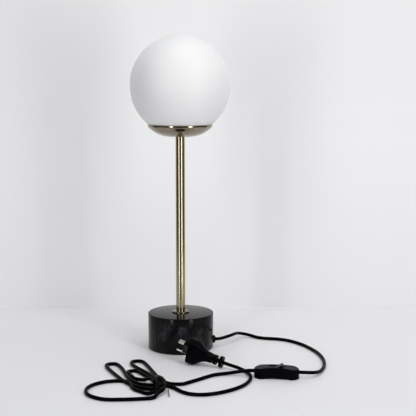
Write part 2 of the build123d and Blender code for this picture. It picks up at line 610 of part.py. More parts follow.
def switch_form(inset):
    """Waisted plan and crowned side view, each drawn in by the inset."""
    end, shoulder = SWITCH_HALF - inset, SWITCH_SHOULDER
    wide, waist = SWITCH_WIDTH / 2 - inset, SWITCH_WAIST / 2 - inset
    plan = ThreePointArc((-shoulder, wide), (0, waist), (shoulder, wide))
    plan += ThreePointArc((shoulder, wide), (end, 0), (shoulder, -wide))
    plan += ThreePointArc((shoulder, -wide), (0, -waist), (-shoulder, -wide))
    plan += ThreePointArc((-shoulder, -wide), (-end, 0), (-shoulder, wide))
    column = extrude(make_face(plan), SWITCH_HEIGHT)
    column = fillet(column.edges().filter_by(Axis.Z), SWITCH_CORNER)
    low, arch = inset, SWITCH_ARCH + inset
    side, crown = SWITCH_END_HEIGHT - inset, SWITCH_HEIGHT - inset
    profile = ThreePointArc((-end, 0, side), (0, 0, crown), (end, 0, side))
    profile += Line((end, 0, side), (end, 0, low))
    profile += Line((end, 0, low), (shoulder, 0, low))
    profile += ThreePointArc((shoulder, 0, low), (0, 0, arch), (-shoulder, 0, low))
    profile += Line((-shoulder, 0, low), (-end, 0, low))
    profile += Line((-end, 0, low), (-end, 0, side))
    slab = extrude(make_face(profile), SWITCH_WIDTH, dir=(0, 1, 0), both=True)
    return column & slab


def cord_channel():
    """Round hole for the cord at both ends of the switch."""
    return Pos(0, 0, SWITCH_SPLIT) * Rot(0, 90, 0) * Cylinder(CORD_DIAMETER / 2 + THREAD_PLAY, SWITCH_LENGTH + 2)


def switch_shell():
    """Both housings as one hollow form, before they are parted."""
    outer = switch_form(0)
    top_rim = outer.faces().sort_by(Axis.Z)[-1].edges()
    outer = fillet(top_rim, SWITCH_ROUNDING)
    return outer - switch_form(SWITCH_WALL) - cord_channel()


def slab_between(bottom, top):
    """Wide block used to part the housing at a height."""
    size = 2 * SWITCH_LENGTH
    return Pos(0, 0, bottom) * Box(size, size, top - bottom, align=(Align.CENTER, Align.CENTER, Align.MIN))


def screw_boss(sign, bottom, top):
    """Round post for a housing screw, at opposite corners of the switch."""
    along, across = HOUSING_SCREW_POSITION
    return Pos(sign * along, sign * across, 0) * drum(HOUSING_BOSS_DIAMETER / 2, bottom, top)


def switch_upper_housing():
    """Upper cover with the rocker's opening, its pivot bosses and screw posts."""
    cover = switch_shell() & slab_between(SWITCH_SPLIT, 2 * SWITCH_HEIGHT)
    solid = switch_form(SWITCH_WALL / 2) & slab_between(SWITCH_SPLIT, 2 * SWITCH_HEIGHT)
    for side in (-1, 1):
        y = side * (OPENING_HALF_WIDTH + PIVOT_BOSS_DEPTH / 2)
        boss_block = Box(2 * PIVOT_BOSS_RADIUS, PIVOT_BOSS_DEPTH, SWITCH_HEIGHT)
        cover += Pos(0, y, SWITCH_SPLIT + SWITCH_HEIGHT / 2) * boss_block & solid
        cover += screw_boss(side, SWITCH_SPLIT, SWITCH_HEIGHT) & solid
    opening = Box(2 * OPENING_HALF_LENGTH, 2 * OPENING_HALF_WIDTH, 2 * SWITCH_HEIGHT)
    cover -= opening
    pin_room = Rot(90, 0, 0) * Cylinder(PIVOT_DIAMETER / 2 + THREAD_PLAY, pin_length())
    cover -= Pos(0, 0, PIVOT_HEIGHT) * pin_room
    for side in (-1, 1):
        along, across = HOUSING_SCREW_POSITION
        pilot = drum(HOUSING_SCREW_DIAMETER / 2 + THREAD_PLAY, SWITCH_SPLIT, SWITCH_SPLIT + 3.5)
        cover -= Pos(side * along, side * across, 0) * pilot
    return SWITCH_PLACE * cover


def switch_lower_housing():
    """Lower tray, arched underneath, with posts that take the screws from below."""
    tray = switch_shell() & slab_between(-1, SWITCH_SPLIT)
    solid = switch_form(SWITCH_WALL / 2) & slab_between(-1, SWITCH_SPLIT)
    for side in (-1, 1):
        tray += screw_boss(side, 0, SWITCH_SPLIT) & solid
    for side in (-1, 1):
        along, across = HOUSING_SCREW_POSITION
        shank = drum(HOUSING_SCREW_DIAMETER / 2 + THREAD_PLAY, -1, SWITCH_SPLIT)
        head = drum(HOUSING_SCREW_HEAD / 2 - 0.3, -1, screw_seat())
        tray -= Pos(side * along, side * across, 0) * (shank + head)
    return SWITCH_PLACE * tray


def screw_seat():
    """Height of the face that a housing screw's head bears on."""
    return SWITCH_WALL + 1.2


def pin_length():
    """Length of the rocker's pivot between the blind ends of its holes."""
    return 2 * (OPENING_HALF_WIDTH + PIVOT_BOSS_DEPTH) - 0.4


def rocker_outline():
    """Side view of the rocker about its pivot, with a dished top."""
    corner, skirt = radians(ROCKER_CORNER_ANGLE), radians(ROCKER_SKIRT_ANGLE)
    top = (ROCKER_RADIUS * cos(corner), ROCKER_RADIUS * sin(corner))
    edge = (ROCKER_RADIUS * cos(skirt), ROCKER_RADIUS * sin(skirt))
    bulge = (ROCKER_RADIUS * cos((corner + skirt) / 2), ROCKER_RADIUS * sin((corner + skirt) / 2))
    half_foot = BLADE_WIDTH / 2
    line = ThreePointArc((-top[0], 0, top[1]), (0, 0, ROCKER_DIP), (top[0], 0, top[1]))
    line += ThreePointArc((top[0], 0, top[1]), (bulge[0], 0, bulge[1]), (edge[0], 0, edge[1]))
    line += Polyline((edge[0], 0, edge[1]), (half_foot, 0, -ROCKER_DEPTH),
                     (-half_foot, 0, -ROCKER_DEPTH), (-edge[0], 0, edge[1]))
    line += ThreePointArc((-edge[0], 0, edge[1]), (-bulge[0], 0, bulge[1]), (-top[0], 0, top[1]))
    return make_face(line)


def at_pivot(shape):
    """Tilt a rocker piece to its rest position and lay it in the switch."""
    return SWITCH_PLACE * Pos(0, 0, PIVOT_HEIGHT) * Rot(0, -ROCKER_TILT, 0) * shape


def switch_rocker():
    """Rocker button with a through bore for its pin."""
    body = extrude(rocker_outline(), ROCKER_WIDTH / 2, dir=(0, 1, 0), both=True)
    body = fillet(body.edges().filter_by(Axis.Y).group_by(Axis.Z)[-1], 0.6)
    bore = Rot(90, 0, 0) * Cylinder(PIVOT_DIAMETER / 2 + PIVOT_PLAY, ROCKER_WIDTH + 2)
    return at_pivot(body - bore)


def switch_contact_blade():
    """Bent spring strip under the rocker that bridges the two terminals."""
    level = -ROCKER_DEPTH - BLADE_THICKNESS / 2
    half = BLADE_WIDTH / 2
    line = Polyline((-BLADE_REACH, 0, level - BLADE_DROP), (-half, 0, level),
                    (half, 0, level), (BLADE_REACH, 0, level - BLADE_DROP))
    section = offset(line, BLADE_THICKNESS / 2, side=Side.BOTH, kind=Kind.INTERSECTION)
    return at_pivot(extrude(make_face(section), half, dir=(0, 1, 0), both=True))


def rocker_pin():
    """Steel pin across the switch, held in the bosses of the upper cover."""
    pin = Cylinder(PIVOT_DIAMETER / 2, pin_length())
    return SWITCH_PLACE * Pos(0, 0, PIVOT_HEIGHT) * Rot(90, 0, 0) * pin


def switch_terminal(side):
    """Brass clamp block with a tongue that reaches in under the rocker."""
    middle = side * TERMINAL_POSITION
    block = Pos(middle, -TERMINAL_OFFSET, SWITCH_FLOOR + TERMINAL_SIZE / 2)
    solid = block * Box(TERMINAL_LENGTH, TERMINAL_SIZE, TERMINAL_SIZE)
    tongue_length = TERMINAL_POSITION - TONGUE_REACH
    tongue = Box(tongue_length, BLADE_WIDTH, TONGUE_THICKNESS)
    reach = side * (TONGUE_REACH + tongue_length / 2)
    solid += Pos(reach, -BLADE_WIDTH / 2, SWITCH_FLOOR + TONGUE_THICKNESS / 2) * tongue
    wire_hole = block * Rot(0, 90, 0) * Cylinder(CORE_DIAMETER / 2 + CORD_PLAY, TERMINAL_LENGTH / 2 + 0.2)
    solid -= Pos(side * TERMINAL_LENGTH / 4, 0, 0) * wire_hole
    bore = drum(TERMINAL_SCREW_DIAMETER / 2 + THREAD_PLAY, SWITCH_FLOOR + TERMINAL_SIZE * 0.7, SWITCH_HEIGHT)
    return SWITCH_PLACE * (solid - Pos(middle, -TERMINAL_OFFSET, 0) * bore)


def switch_terminal_screws():
    """Slotted screws that clamp the cores in the terminals."""
    length = TERMINAL_SIZE * 0.3 - 0.1
    screw = Rot(180, 0, 0) * pan_screw(TERMINAL_SCREW_DIAMETER, length, 4.0, 1.2)
    top = SWITCH_FLOOR + TERMINAL_SIZE
    return SWITCH_PLACE * Compound([Pos(side * TERMINAL_POSITION, -TERMINAL_OFFSET, top) * screw
                                    for side in (-1, 1)])


def switch_leads():
    """Ends of the cord inside the switch, their cores, and the core that runs through."""
    inner = SWITCH_HALF - SHEATH_STUB
    start = CORE_DIAMETER * 0.6
    pieces = []
    low = SWITCH_FLOOR + TERMINAL_SIZE / 2
    for side in (-1, 1):
        stub = Rot(0, 90, 0) * Cylinder(CORD_DIAMETER / 2, SHEATH_STUB)
        pieces.append(Pos(side * (inner + SHEATH_STUB / 2), 0, SWITCH_SPLIT) * stub)
        lead_end = side * (TERMINAL_POSITION + TERMINAL_LENGTH * 0.1)
        points = [(side * inner, -start, SWITCH_SPLIT), (side * (inner - 1.2), -start, SWITCH_SPLIT),
                  (side * (inner - 4.5), -TERMINAL_OFFSET, low), (lead_end, -TERMINAL_OFFSET, low)]
        pieces.append(wire_lead(points, CORE_DIAMETER, 1.2))
    rest = SWITCH_FLOOR + CORE_DIAMETER / 2 + 0.2
    aside = BLADE_WIDTH + 0.6
    points = [(-inner, start, SWITCH_SPLIT), (-inner + 2, start, SWITCH_SPLIT),
              (-inner + 9, aside, rest), (inner - 9, aside, rest),
              (inner - 2, start, SWITCH_SPLIT), (inner, start, SWITCH_SPLIT)]
    pieces.append(wire_lead(points, CORE_DIAMETER, 1.8))
    return SWITCH_PLACE * Compound(pieces)


def switch_housing_screws():
    """Two self-tapping screws let in from below."""
    along, across = HOUSING_SCREW_POSITION
    length = SWITCH_SPLIT + 3.0 - screw_seat()
    screw = pan_screw(HOUSING_SCREW_DIAMETER, length, HOUSING_SCREW_HEAD - 0.8, 1.4)
    return SWITCH_PLACE * Compound([Pos(side * along, side * across, screw_seat()) * screw
                                    for side in (-1, 1)])


# ------------------------------------------------------------------ the plug
# Local frame: Z from the face towards the cord, X up along the line of pins.
PLUG_AXIS = Vector(*PLUG_CORD_END) - Vector(*PLUG_FACE_CENTRE)
PLUG_LENGTH = PLUG_AXIS.length
PLUG_ACROSS = PLUG_AXIS.cross(Vector(0, 0, 1)).normalized()
PLUG_UP = PLUG_ACROSS.cross(PLUG_AXIS).normalized()
PLUG_PLANE = Plane(origin=PLUG_FACE_CENTRE, x_dir=PLUG_UP, z_dir=PLUG_AXIS)
# distance from the face, height and width of each section of the grip
PLUG_GRIP = [
    (12.0, 37.4, 20.0, 7.5), (18.0, 28.5, 17.0, 7.0), (24.0, 20.0, 13.5, 6.0),
    (30.0, 16.0, 11.0, 5.0), (38.5, 13.5, 9.6, 4.0),
]
# start, end, height and width of each rib on the strain relief
PLUG_RIBS = [(40.5, 45.3, 14.5, 9.2), (49.9, 54.9, 16.6, 9.6)]


def plug_pin_place(side):
    """Each pin stands off the middle and is turned about its own length."""
    return Pos(side * PLUG_PIN_SPREAD, 0, 0) * Rot(0, 0, side * PLUG_PIN_TURN)


def pin_bar(width, thickness, start, end):
    """Flat bar of a pin between two distances from the face."""
    middle = (start + end) / 2
    return Pos(0, 0, middle) * Box(thickness, width, end - start)


def plug_pin():
    """Flat pin, thinner where it is sleeved and in the moulding."""
    tip = pin_bar(PLUG_PIN_WIDTH, PLUG_PIN_THICKNESS, -PLUG_PIN_LENGTH, -PLUG_SLEEVE_LENGTH)
    tip = chamfer(tip.faces().sort_by(Axis.Z)[0].edges(), 0.5)
    core_width = PLUG_PIN_WIDTH - 2 * PLUG_SLEEVE_WALL
    core_thickness = PLUG_PIN_THICKNESS - 2 * PLUG_SLEEVE_WALL
    return tip + pin_bar(core_width, core_thickness, -PLUG_SLEEVE_LENGTH, PLUG_PIN_EMBEDDED)


def plug_sleeve():
    """Insulating sleeve flush with the pin's tip."""
    sleeve = pin_bar(PLUG_PIN_WIDTH, PLUG_PIN_THICKNESS, -PLUG_SLEEVE_LENGTH, 0)
    core_width = PLUG_PIN_WIDTH - 2 * PLUG_SLEEVE_WALL
    core_thickness = PLUG_PIN_THICKNESS - 2 * PLUG_SLEEVE_WALL
    return sleeve - pin_bar(core_width, core_thickness, -PLUG_SLEEVE_LENGTH, 0)


def plug_section(distance, height, width, corner):
    """Rounded section of the plug at a distance from its face."""
    return Pos(0, 0, distance) * RectangleRounded(height, width, corner)


def plug_body():
    """Moulded plug: a thick flange, a drawn-in grip and a ribbed strain relief."""
    face = plug_section(0, PLUG_FACE_HEIGHT, PLUG_FACE_WIDTH, PLUG_FACE_CORNER)
    flange = loft([face, plug_section(*PLUG_GRIP[0])], ruled=True)
    flange = fillet(flange.faces().sort_by(Axis.Z)[0].edges(), PLUG_EDGE)
    grip = loft([plug_section(*sizes) for sizes in PLUG_GRIP])
    core = drum(RELIEF_CORE_DIAMETER / 2, PLUG_GRIP[-1][0], PLUG_LENGTH)
    moulding = flange + grip + core
    for start, end, height, width in PLUG_RIBS:
        moulding += extrude(plug_section(start, height, width, width * 0.45), min(end, PLUG_LENGTH) - start)
    core_width = PLUG_PIN_WIDTH - 2 * PLUG_SLEEVE_WALL
    core_thickness = PLUG_PIN_THICKNESS - 2 * PLUG_SLEEVE_WALL
    for side in (-1, 1):
        moulding -= plug_pin_place(side) * pin_bar(core_width, core_thickness, 0, PLUG_PIN_EMBEDDED)
    return PLUG_PLANE * moulding


def plug_pair(piece):
    """The same piece on both pins."""
    return PLUG_PLANE * Compound([plug_pin_place(side) * piece for side in (-1, 1)])


# ------------------------------------------------------------- cords and hank
def joined_directions():
    """Unit directions in which the cord enters and leaves the hank."""
    enter = Vector(*SWITCH_TO_HANK[-1]) - Vector(*SWITCH_TO_HANK[-2])
    leave = Vector(*HANK_TO_PLUG[1]) - Vector(*HANK_TO_PLUG[0])
    return enter.normalized(), leave.normalized()


def loop_stations(root_out, tip, width, root_back, side):
    """Stations round one loop: out, beside the tip, the tip, beside it again, back."""
    bearing = radians(tip[2])
    half = width / 2

    def beside(along, across):
        x = tip[0] + along * cos(bearing) - across * sin(bearing)
        y = tip[1] + along * sin(bearing) + across * cos(bearing)
        return x, y

    return [
        (*root_out[:2], CORD_Z, root_out[2]),
        (*beside(-half, -side * half), CORD_Z, tip[2]),
        (*tip[:2], CORD_Z, tip[2] + side * 90),
        (*beside(-half, side * half), CORD_Z, tip[2] + 180),
        (*root_back[:2], CORD_Z, root_back[2]),
    ]


def hank_stations():
    """All stations of the hank in order: (x, y, z, heading)."""
    stations = [(x, y, CORD_Z, heading) for x, y, heading in ENTRY_STRAND]
    for count, loop in enumerate(LOOPS):
        stations += loop_stations(*loop)
        if count < len(FOLDS):
            stations += FOLDS[count]
    return stations + [(x, y, CORD_Z, heading) for x, y, heading in EXIT_STRAND]


def hank_tangents(stations):
    """Point and unit tangent of each station, with the slope from its neighbours."""
    placed = []
    last = len(stations) - 1
    for count, (x, y, z, heading) in enumerate(stations):
        before, after = stations[max(count - 1, 0)], stations[min(count + 1, last)]
        run = hypot(x - before[0], y - before[1]) + hypot(after[0] - x, after[1] - y)
        slope = (after[2] - before[2]) / run if z > CORD_Z else 0
        tangent = Vector(cos(radians(heading)), sin(radians(heading)), slope).normalized()
        placed.append((Vector(x, y, z), tangent))
    return placed


def biarc(start, start_tangent, end, end_tangent):
    """Two arcs that leave and arrive along the given tangents."""
    chord = end - start
    both = start_tangent + end_tangent
    spread = 2 * (1 - start_tangent.dot(end_tangent))
    reach = chord.dot(both)
    if spread < 1e-9:
        length = chord.dot(chord) / (4 * chord.dot(end_tangent))
    else:
        length = (sqrt(reach**2 + spread * chord.dot(chord)) - reach) / spread
    first_corner, second_corner = start + start_tangent * length, end - end_tangent * length
    middle = (first_corner + second_corner) * 0.5
    first = TangentArc(start, middle, tangent=start_tangent)
    second = TangentArc(middle, end, tangent=second_corner - first_corner)
    return [first, second]


def hank_path():
    """The whole way of the hank, straight for one diameter at both ends."""
    enter, leave = joined_directions()
    first, last = Vector(*SWITCH_TO_HANK[-1]), Vector(*HANK_TO_PLUG[0])
    inner_first, inner_last = first + enter * CORD_DIAMETER, last - leave * CORD_DIAMETER
    way = [(inner_first, enter)] + hank_tangents(hank_stations()) + [(inner_last, leave)]
    edges = [Line(first, inner_first)]
    for (start, start_tangent), (end, end_tangent) in zip(way, way[1:]):
        edges += biarc(start, start_tangent, end, end_tangent)
    edges.append(Line(inner_last, last))
    return Wire([edge.edge() for edge in edges])


def least_self_gap(path, diameter):
    """Least gap of a tube to itself, on points a millimetre apart."""
    count = int(path.length)
    points = [path.position_at(step / count) for step in range(count + 1)]
    apart = int(3.2 * diameter)
    least = inf
    for first in range(len(points)):
        a = points[first]
        for second in range(first + apart, len(points)):
            b = points[second]
            if abs(a.X - b.X) < 8 and abs(a.Y - b.Y) < 8:
                least = min(least, (a - b).length)
    return least - diameter


def cord_hank():
    """The tied spare cord: one unbroken tube through four loops."""
    path = hank_path()
    print("cord_hank length", round(path.length, 1),
          "least self gap", round(least_self_gap(path, CORD_DIAMETER), 2))
    return sweep_round(path, CORD_DIAMETER)


def hank_tie():
    """Plastic-covered wire tie round the folds, twisted into a tail on the table."""
    middle_x, middle_z = (TIE_LEFT + TIE_RIGHT) / 2, (TIE_TOP + TIE_BOTTOM) / 2
    wide, high = TIE_RIGHT - TIE_LEFT, TIE_TOP - TIE_BOTTOM
    plane = Plane(origin=(middle_x, TIE_PLANE_Y, middle_z), x_dir=(1, 0, 0), z_dir=(0, 1, 0))
    ring = RectangleRounded(wide + TIE_THICKNESS, high + TIE_THICKNESS, TIE_CORNER)
    ring -= RectangleRounded(wide - TIE_THICKNESS, high - TIE_THICKNESS, TIE_CORNER - TIE_THICKNESS)
    band = extrude(plane * ring, TIE_WIDTH / 2, both=True)
    tail_start = (TIE_RIGHT, TIE_PLANE_Y, TIE_BOTTOM + TIE_CORNER + TIE_WIDTH)
    tail = wire_lead([tail_start] + TIE_TAIL, TIE_WIDTH, 8)
    return band + tail


# ------------------------------------------------------------ write the parts
save("marble_base", marble_base())
save("base_cover_plate", base_cover_plate())
save("base_pad", base_pad())
save("cord_grommet", cord_grommet())
save("cord_anchor_upper", cord_anchor_half(1))
save("cord_anchor_lower", cord_anchor_half(-1))
save("cord_anchor_screws", cord_anchor_screws())
save("inner_flex", inner_flex())
save("lower_nipple", nipple(NUT_BOTTOM - THREAD_STICKING_OUT, STEM_BOTTOM + INSERT_LENGTH))
save("steel_washer", washer(WASHER_DIAMETER / 2, WASHER_HOLE, WASHER_BOTTOM, CAVITY_TOP))
save("lock_washer", lock_washer())
save("lower_nut", hex_nut(NUT_BOTTOM))
save("stem_flange", stem_flange())
save("stem_tube", washer(STEM_DIAMETER / 2, STEM_DIAMETER / 2 - STEM_WALL, STEM_BOTTOM, STEM_TOP))
save("stem_insert_lower", stem_insert(STEM_BOTTOM))
save("stem_insert_upper", stem_insert(STEM_TOP - INSERT_LENGTH))
save("upper_nipple", nipple(STEM_TOP - INSERT_LENGTH, FLEX_TOP))
save("globe_dish", globe_dish())
save("globe_clip_spring", globe_clip_spring())
save("lampholder_bracket", lampholder_bracket())
save("upper_nut", hex_nut(UPPER_NUT_BOTTOM))
save("globe_seat_ring", globe_seat_ring())
save("lampholder_body", lampholder_body())
save("lampholder_contacts", lampholder_contacts())
save("lampholder_leads", lampholder_leads())
save("lampholder_screw", lampholder_screw())
save("bulb_pins", bulb_pins())
save("bulb_base", bulb_base())
save("bulb_capsule", bulb_capsule())
save("globe", globe())
save("switch_upper_housing", switch_upper_housing())
save("switch_lower_housing", switch_lower_housing())
save("switch_rocker", switch_rocker())
save("switch_contact_blade", switch_contact_blade())
save("rocker_pin", rocker_pin())
save("switch_terminal_left", switch_terminal(-1))
save("switch_terminal_right", switch_terminal(1))
save("switch_terminal_screws", switch_terminal_screws())
save("switch_leads", switch_leads())
save("switch_housing_screws", switch_housing_screws())
save("plug_body", plug_body())
save("plug_pins", plug_pair(plug_pin()))
save("plug_pin_sleeves", plug_pair(plug_sleeve()))

RIGHT_RUN = [switch_point(SWITCH_HALF + END_RUN, 0, SWITCH_SPLIT), switch_point(SWITCH_HALF, 0, SWITCH_SPLIT)]
LEFT_RUN = [switch_point(-SWITCH_HALF, 0, SWITCH_SPLIT), switch_point(-SWITCH_HALF - END_RUN, 0, SWITCH_SPLIT)]
PLUG_RUN = [tuple(Vector(*PLUG_CORD_END) + PLUG_AXIS.normalized() * END_RUN), PLUG_CORD_END]
save("cord_base_to_switch", tube("cord_base_to_switch", BASE_TO_SWITCH + RIGHT_RUN))
save("cord_switch_to_hank", tube("cord_switch_to_hank", LEFT_RUN + SWITCH_TO_HANK))
save("cord_hank", cord_hank())
save("cord_hank_to_plug", tube("cord_hank_to_plug", HANK_TO_PLUG + PLUG_RUN))
save("hank_tie", hank_tie())
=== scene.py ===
from math import cos, hypot, pi, radians, sin, sqrt

import bmesh
import bpy
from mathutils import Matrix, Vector


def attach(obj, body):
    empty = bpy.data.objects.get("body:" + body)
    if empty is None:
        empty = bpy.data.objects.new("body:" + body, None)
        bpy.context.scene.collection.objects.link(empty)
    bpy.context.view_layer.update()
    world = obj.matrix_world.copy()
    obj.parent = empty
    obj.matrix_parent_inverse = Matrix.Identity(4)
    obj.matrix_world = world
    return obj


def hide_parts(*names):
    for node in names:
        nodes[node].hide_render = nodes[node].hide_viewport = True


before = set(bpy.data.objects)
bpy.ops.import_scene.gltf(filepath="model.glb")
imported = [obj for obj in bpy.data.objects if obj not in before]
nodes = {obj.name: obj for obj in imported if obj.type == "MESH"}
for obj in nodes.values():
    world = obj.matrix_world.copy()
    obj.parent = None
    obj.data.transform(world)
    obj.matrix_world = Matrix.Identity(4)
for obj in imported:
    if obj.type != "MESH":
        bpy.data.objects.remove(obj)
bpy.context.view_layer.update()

# ------------------------------------------------------------------ the camera
# The photograph's viewpoint: a metre and a half in front of the lamp and about
# forty centimetres above the table, looking a little down on it.
VIEW_PLACE = (0, -1.5, 0.409)
LOOK_DOWN = 7.33
LOOK_RIGHT = 1.6
LENS = 86.2
SENSOR_WIDTH = 36

camera_data = bpy.data.cameras.new("camera")
camera_data.lens = LENS
camera_data.sensor_width = SENSOR_WIDTH
camera = bpy.data.objects.new("camera", camera_data)
camera.location = VIEW_PLACE
camera.rotation_euler = (radians(90 - LOOK_DOWN), 0, radians(-LOOK_RIGHT))
bpy.context.scene.collection.objects.link(camera)
bpy.context.scene.camera = camera


# -------------------------------------------------------- the table and lights
# A plain pale table against a plain wall, in a room that is dark in front of
# them but for two tall windows, one left of the viewer and one to the right.
def new_material(name, color, roughness, metallic=0.0):
    """Material with one main shader; its nodes and links come back for more."""
    material = bpy.data.materials.new(name)
    material.use_nodes = True
    shader = material.node_tree.nodes["Principled BSDF"]
    shader.inputs["Base Color"].default_value = (*color, 1)
    shader.inputs["Roughness"].default_value = roughness
    shader.inputs["Metallic"].default_value = metallic
    return material, shader, material.node_tree.nodes, material.node_tree.links


WALL_PLACE = 0.27
TABLE_FRONT = -0.34
TABLE_HALF_WIDTH = 0.8
WALL_HEIGHT = 2.4

bpy.ops.object.select_all(action="DESELECT")
bpy.ops.mesh.primitive_plane_add(size=1, location=(0, (WALL_PLACE + TABLE_FRONT) / 2, 0))
table = bpy.context.object
table.name = "table"
table.scale = (2 * TABLE_HALF_WIDTH, WALL_PLACE - TABLE_FRONT, 1)
bpy.ops.object.transform_apply(location=True, rotation=True, scale=True)
table.data.materials.append(new_material("pale_table", (0.86, 0.86, 0.87), 0.5)[0])

bpy.ops.object.select_all(action="DESELECT")
bpy.ops.mesh.primitive_plane_add(size=1, location=(0, WALL_PLACE, 0), rotation=(pi / 2, 0, 0))
wall = bpy.context.object
wall.name = "wall"
wall.scale = (2 * TABLE_HALF_WIDTH, WALL_HEIGHT, 1)
bpy.ops.object.transform_apply(location=True, rotation=True, scale=True)
wall_material, wall_shader, wall_nodes, wall_links = new_material("pale_wall", (0.81, 0.81, 0.815), 0.9)
wall.data.materials.append(wall_material)
# from behind, the wall is clear, so that the lamp's back can be seen too
wall_side = wall_nodes.new("ShaderNodeNewGeometry")
wall_clear = wall_nodes.new("ShaderNodeBsdfTransparent")
wall_mix = wall_nodes.new("ShaderNodeMixShader")
wall_links.new(wall_side.outputs["Backfacing"], wall_mix.inputs["Fac"])
wall_links.new(wall_shader.outputs["BSDF"], wall_mix.inputs[1])
wall_links.new(wall_clear.outputs["BSDF"], wall_mix.inputs[2])
wall_links.new(wall_mix.outputs["Shader"], wall_nodes["Material Output"].inputs["Surface"])


def soft_light(name, place, target, width, height, watts):
    """Rectangular lamp at a place, facing a point."""
    data = bpy.data.lights.new(name, "AREA")
    data.shape = "RECTANGLE"
    data.size = width
    data.size_y = height
    data.energy = watts
    lamp = bpy.data.objects.new(name, data)
    lamp.location = place
    lamp.rotation_euler = (Vector(target) - Vector(place)).to_track_quat("-Z", "Y").to_euler()
    bpy.context.scene.collection.objects.link(lamp)


soft_light("window_right", place=(1.05, -1.4, 0.72), target=(0, 0, 0.4), width=0.4, height=2.8,
           watts=24.5)
soft_light("window_left", place=(-1.1, -1.8, 0.72), target=(0, 0, 0.4), width=0.34, height=2.8,
           watts=21.5)
soft_light("ceiling", place=(0.3, -0.3, 2.2), target=(0, 0, 0), width=1.6, height=1.6, watts=15.5)

# the room's own light is dim, and past the wall the camera sees a pale backdrop
world = bpy.data.worlds.new("room")
world.use_nodes = True
room_nodes, room_links = world.node_tree.nodes, world.node_tree.links
room_light = room_nodes["Background"]
room_light.inputs["Color"].default_value = (0.9, 0.93, 1.0, 1)
room_light.inputs["Strength"].default_value = 0.12
backdrop = room_nodes.new("ShaderNodeBackground")
backdrop.inputs["Color"].default_value = (0.80, 0.80, 0.81, 1)
room_rays = room_nodes.new("ShaderNodeLightPath")
room_mix = room_nodes.new("ShaderNodeMixShader")
room_links.new(room_rays.outputs["Is Camera Ray"], room_mix.inputs["Fac"])
room_links.new(room_light.outputs["Background"], room_mix.inputs[1])
room_links.new(backdrop.outputs["Background"], room_mix.inputs[2])
room_links.new(room_mix.outputs["Shader"], room_nodes["World Output"].inputs["Surface"])
bpy.context.scene.world = world
bpy.context.scene.view_settings.view_transform = "Standard"

# -------------------------------------------------------------------- the cord
# Round black two-core flex with a smooth sheath, soft enough to lie in loose
# curves. The first length leaves the base and is clamped in the cord switch.
CORD_DIAMETER = 0.005
CORD_Z = 0.0026
HALF_SWITCH = 0.03125
SWITCH_CENTRE = (0.1324, -0.1637)
SWITCH_TURN = radians(-9)
SPLIT_HEIGHT = 0.0085
END_RUN = 0.008


def in_switch(along, across, height):
    """Place of a point given along and across the switch."""
    x = SWITCH_CENTRE[0] + along * cos(SWITCH_TURN) - across * sin(SWITCH_TURN)
    y = SWITCH_CENTRE[1] + along * sin(SWITCH_TURN) + across * cos(SWITCH_TURN)
    return (x, y, height)


def lay_cord(name, points, diameter):
    """Round cord along one smooth open line."""
    data = bpy.data.curves.new(name, "CURVE")
    data.dimensions = "3D"
    spline = data.splines.new("NURBS")
    spline.points.add(len(points) - 1)
    for place, point in zip(spline.points, points):
        place.co = (*point, 1)
    spline.order_u = 3
    spline.use_endpoint_u = True
    data.resolution_u = 10
    data.bevel_depth = diameter / 2
    data.bevel_resolution = 5
    data.use_fill_caps = True
    piece = bpy.data.objects.new(name, data)
    bpy.context.scene.collection.objects.link(piece)
    return piece


def add_node(here, kind, **values):
    """Add a shader node and set some of its inputs."""
    node = here.new(kind)
    for socket, value in values.items():
        node.inputs[socket.replace("_", " ")].default_value = value
    return node


def textured(name, dark, light, roughness, metallic=0.0, grain=120.0, stretch=(1, 1, 1), spread=0.06,
             bump=0.1, depth=0.0002):
    """Material whose colour, roughness and surface vary with two noises."""
    material, shader, here, links = new_material(name, dark, roughness, metallic)
    place = here.new("ShaderNodeTexCoord")
    scaled = add_node(here, "ShaderNodeMapping", Scale=stretch)
    coarse = add_node(here, "ShaderNodeTexNoise", Scale=grain, Detail=4.0)
    fine = add_node(here, "ShaderNodeTexNoise", Scale=grain * 6, Detail=3.0)
    colors = here.new("ShaderNodeMix")
    colors.data_type = "RGBA"
    colors.inputs[6].default_value = (*dark, 1)
    colors.inputs[7].default_value = (*light, 1)
    rough = add_node(here, "ShaderNodeMapRange", From_Min=0.3, From_Max=0.7,
                     To_Min=roughness - spread, To_Max=roughness + spread)
    relief = add_node(here, "ShaderNodeBump", Strength=bump, Distance=depth)
    links.new(place.outputs["Object"], scaled.inputs["Vector"])
    links.new(scaled.outputs["Vector"], coarse.inputs["Vector"])
    links.new(scaled.outputs["Vector"], fine.inputs["Vector"])
    links.new(coarse.outputs["Fac"], colors.inputs["Factor"])
    links.new(colors.outputs[2], shader.inputs["Base Color"])
    links.new(fine.outputs["Fac"], rough.inputs["Value"])
    links.new(rough.outputs["Result"], shader.inputs["Roughness"])
    links.new(fine.outputs["Fac"], relief.inputs["Height"])
    links.new(relief.outputs["Normal"], shader.inputs["Normal"])
    return material, shader, here, links


flex_material, flex_shader = textured(
    "black_flex", (0.0005, 0.0005, 0.001), (0.0016, 0.0016, 0.0026), 0.3, grain=150.0, depth=0.0001)[:2]
flex_shader.inputs["Specular IOR Level"].default_value = 0.018

